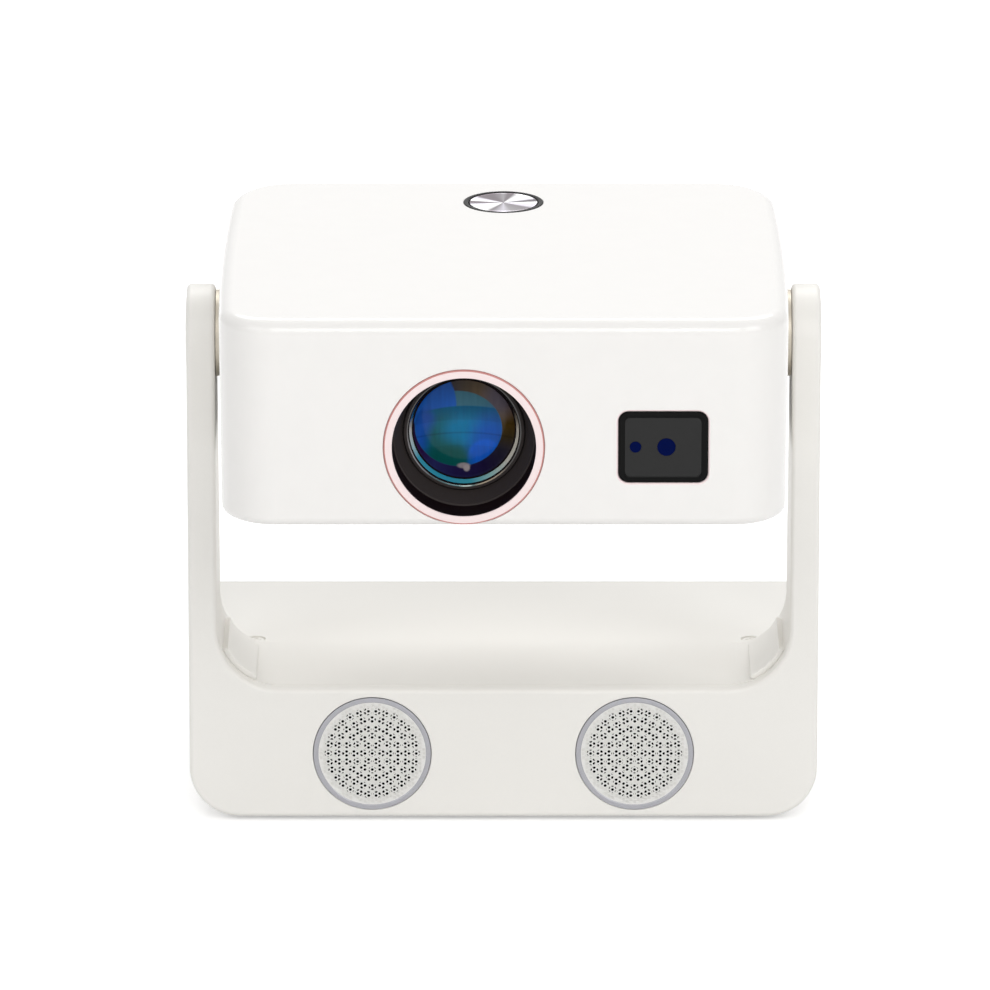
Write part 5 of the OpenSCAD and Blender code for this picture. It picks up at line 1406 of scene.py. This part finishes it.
class PROJECTOR_OT_stage(bpy.types.Operator):
    """White floor, soft lamps and the camera"""

    bl_idname = "projector.stage"
    bl_label = "Stage"

    def execute(self, context):
        s, scene = context.scene.projector_stage, context.scene
        half = 8
        corners = [(-half, -half, 0), (half, -half, 0), (half, half, 0), (-half, half, 0)]
        floor = new_piece("floor", corners, [(0, 1, 2, 3)])
        made = bpy.data.materials.new("white_paper_floor")
        made.use_nodes = True
        tree = made.node_tree
        tree.nodes.clear()
        paper = add(tree, "ShaderNodeBsdfDiffuse", {"Color": linear("#F4F4F4")})
        where = add(tree, "ShaderNodeTexCoord")
        away = add(tree, "ShaderNodeVectorMath", {0: where.outputs["Object"]}, operation="LENGTH")
        near, beyond, full = 0.15, 1.0, 0.8
        far = add(
            tree, "ShaderNodeMapRange",
            {
                "Value": away.outputs["Value"], "From Min": near, "From Max": beyond,
                "To Min": s.floor_glow, "To Max": full,
            },
        )
        seen = seen_directly(tree, "ADD")
        amount = add(tree, "ShaderNodeMath", {0: seen, 1: far.outputs[0]}, operation="MULTIPLY")
        glow = add(tree, "ShaderNodeEmission", {"Color": (1, 1, 1, 1), "Strength": amount.outputs[0]})
        both = add(tree, "ShaderNodeAddShader", {0: paper.outputs[0], 1: glow.outputs[0]})
        add(tree, "ShaderNodeOutputMaterial", {"Surface": both.outputs[0]})
        floor.data.materials.append(made)

        world = bpy.data.worlds.new("white_room")
        scene.world = world
        world.use_nodes = True
        tree = world.node_tree
        tree.nodes.clear()
        seen = seen_directly(tree, "MAXIMUM")
        level = add(tree, "ShaderNodeMapRange", {"Value": seen, "To Min": s.ambient, "To Max": 1.0})
        sky = add(tree, "ShaderNodeBackground", {"Color": (1, 1, 1, 1), "Strength": level.outputs[0]})
        add(tree, "ShaderNodeOutputWorld", {"Surface": sky.outputs[0]})

        aim = Vector((0, 0, 0.11))
        lamps = (
            # name, watts, width and height, place, all of them aimed at the projector
            ("front_softbox", 7, (0.8, 0.8), (0.1, -1.6, 1.15)),
            ("key_softbox", 6.5, (0.8, 0.8), (1.1, -1.1, 1.1)),
            ("fill_softbox", 4, (0.8, 0.8), (-1.1, -1.1, 1.1)),
            ("top_softbox", 9, (1.4, 0.5), (0, 0.8, 1.25)),
        )
        for name, watts, (width, height), place in lamps:
            softbox = placed(name, bpy.data.lights.new(name, "AREA"))
            softbox.data.energy = watts
            softbox.data.shape = "RECTANGLE"
            softbox.data.size, softbox.data.size_y = width, height
            softbox.location = place
            softbox.rotation_mode = "QUATERNION"
            softbox.rotation_quaternion = (aim - Vector(place)).to_track_quat("-Z", "Y")

        camera = placed("camera", bpy.data.cameras.new("camera"))
        camera.data.sensor_width = 36
        camera.data.lens = s.lens
        ahead = Vector((0, math.cos(s.pitch), -math.sin(s.pitch)))
        camera.location = Vector((s.aim_x, HINGE.y, s.aim_z)) - ahead * s.distance
        camera.rotation_euler = (math.pi / 2 - s.pitch, 0, 0)
        camera.data.clip_start, camera.data.clip_end = 0.05, 100
        scene.camera = camera
        scene.view_settings.view_transform = "Standard"
        return {"FINISHED"}


# In the order in which they build
OPERATORS = [
    PROJECTOR_OT_body,
    PROJECTOR_OT_rear,
    PROJECTOR_OT_lens,
    PROJECTOR_OT_window,
    PROJECTOR_OT_button,
    PROJECTOR_OT_stand,
    PROJECTOR_OT_speakers,
    PROJECTOR_OT_kept,
    PROJECTOR_OT_stage,
]


class PROJECTOR_PT_panel(bpy.types.Panel):
    """Sizes, colours and pieces of the projector"""

    bl_label = "Home projector"
    bl_idname = "PROJECTOR_PT_panel"
    bl_space_type = "VIEW_3D"
    bl_region_type = "UI"
    bl_category = "Projector"

    def draw(self, context):
        for pointer, group in GROUPS.items():
            box = self.layout.box()
            box.label(text=group.__doc__)
            for key in group.__annotations__:
                box.prop(getattr(context.scene, pointer), key)
        for kind in OPERATORS:
            self.layout.operator(kind.bl_idname)


def register():
    for kind in [*GROUPS.values(), *OPERATORS, PROJECTOR_PT_panel]:
        bpy.utils.register_class(kind)
    for pointer, group in GROUPS.items():
        setattr(bpy.types.Scene, pointer, PointerProperty(type=group))


def unregister():
    for pointer in GROUPS:
        delattr(bpy.types.Scene, pointer)
    for kind in reversed([*GROUPS.values(), *OPERATORS, PROJECTOR_PT_panel]):
        bpy.utils.unregister_class(kind)


# Finished materials, by short name
M = {}


def main():
    """Builds everything"""
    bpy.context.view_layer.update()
    register()
    M.update(make_materials(bpy.context.scene.projector_finish))
    for kind in OPERATORS:
        group, call = kind.bl_idname.split(".")
        getattr(getattr(bpy.ops, group), call)()


if __name__ == "__main__":
    main()
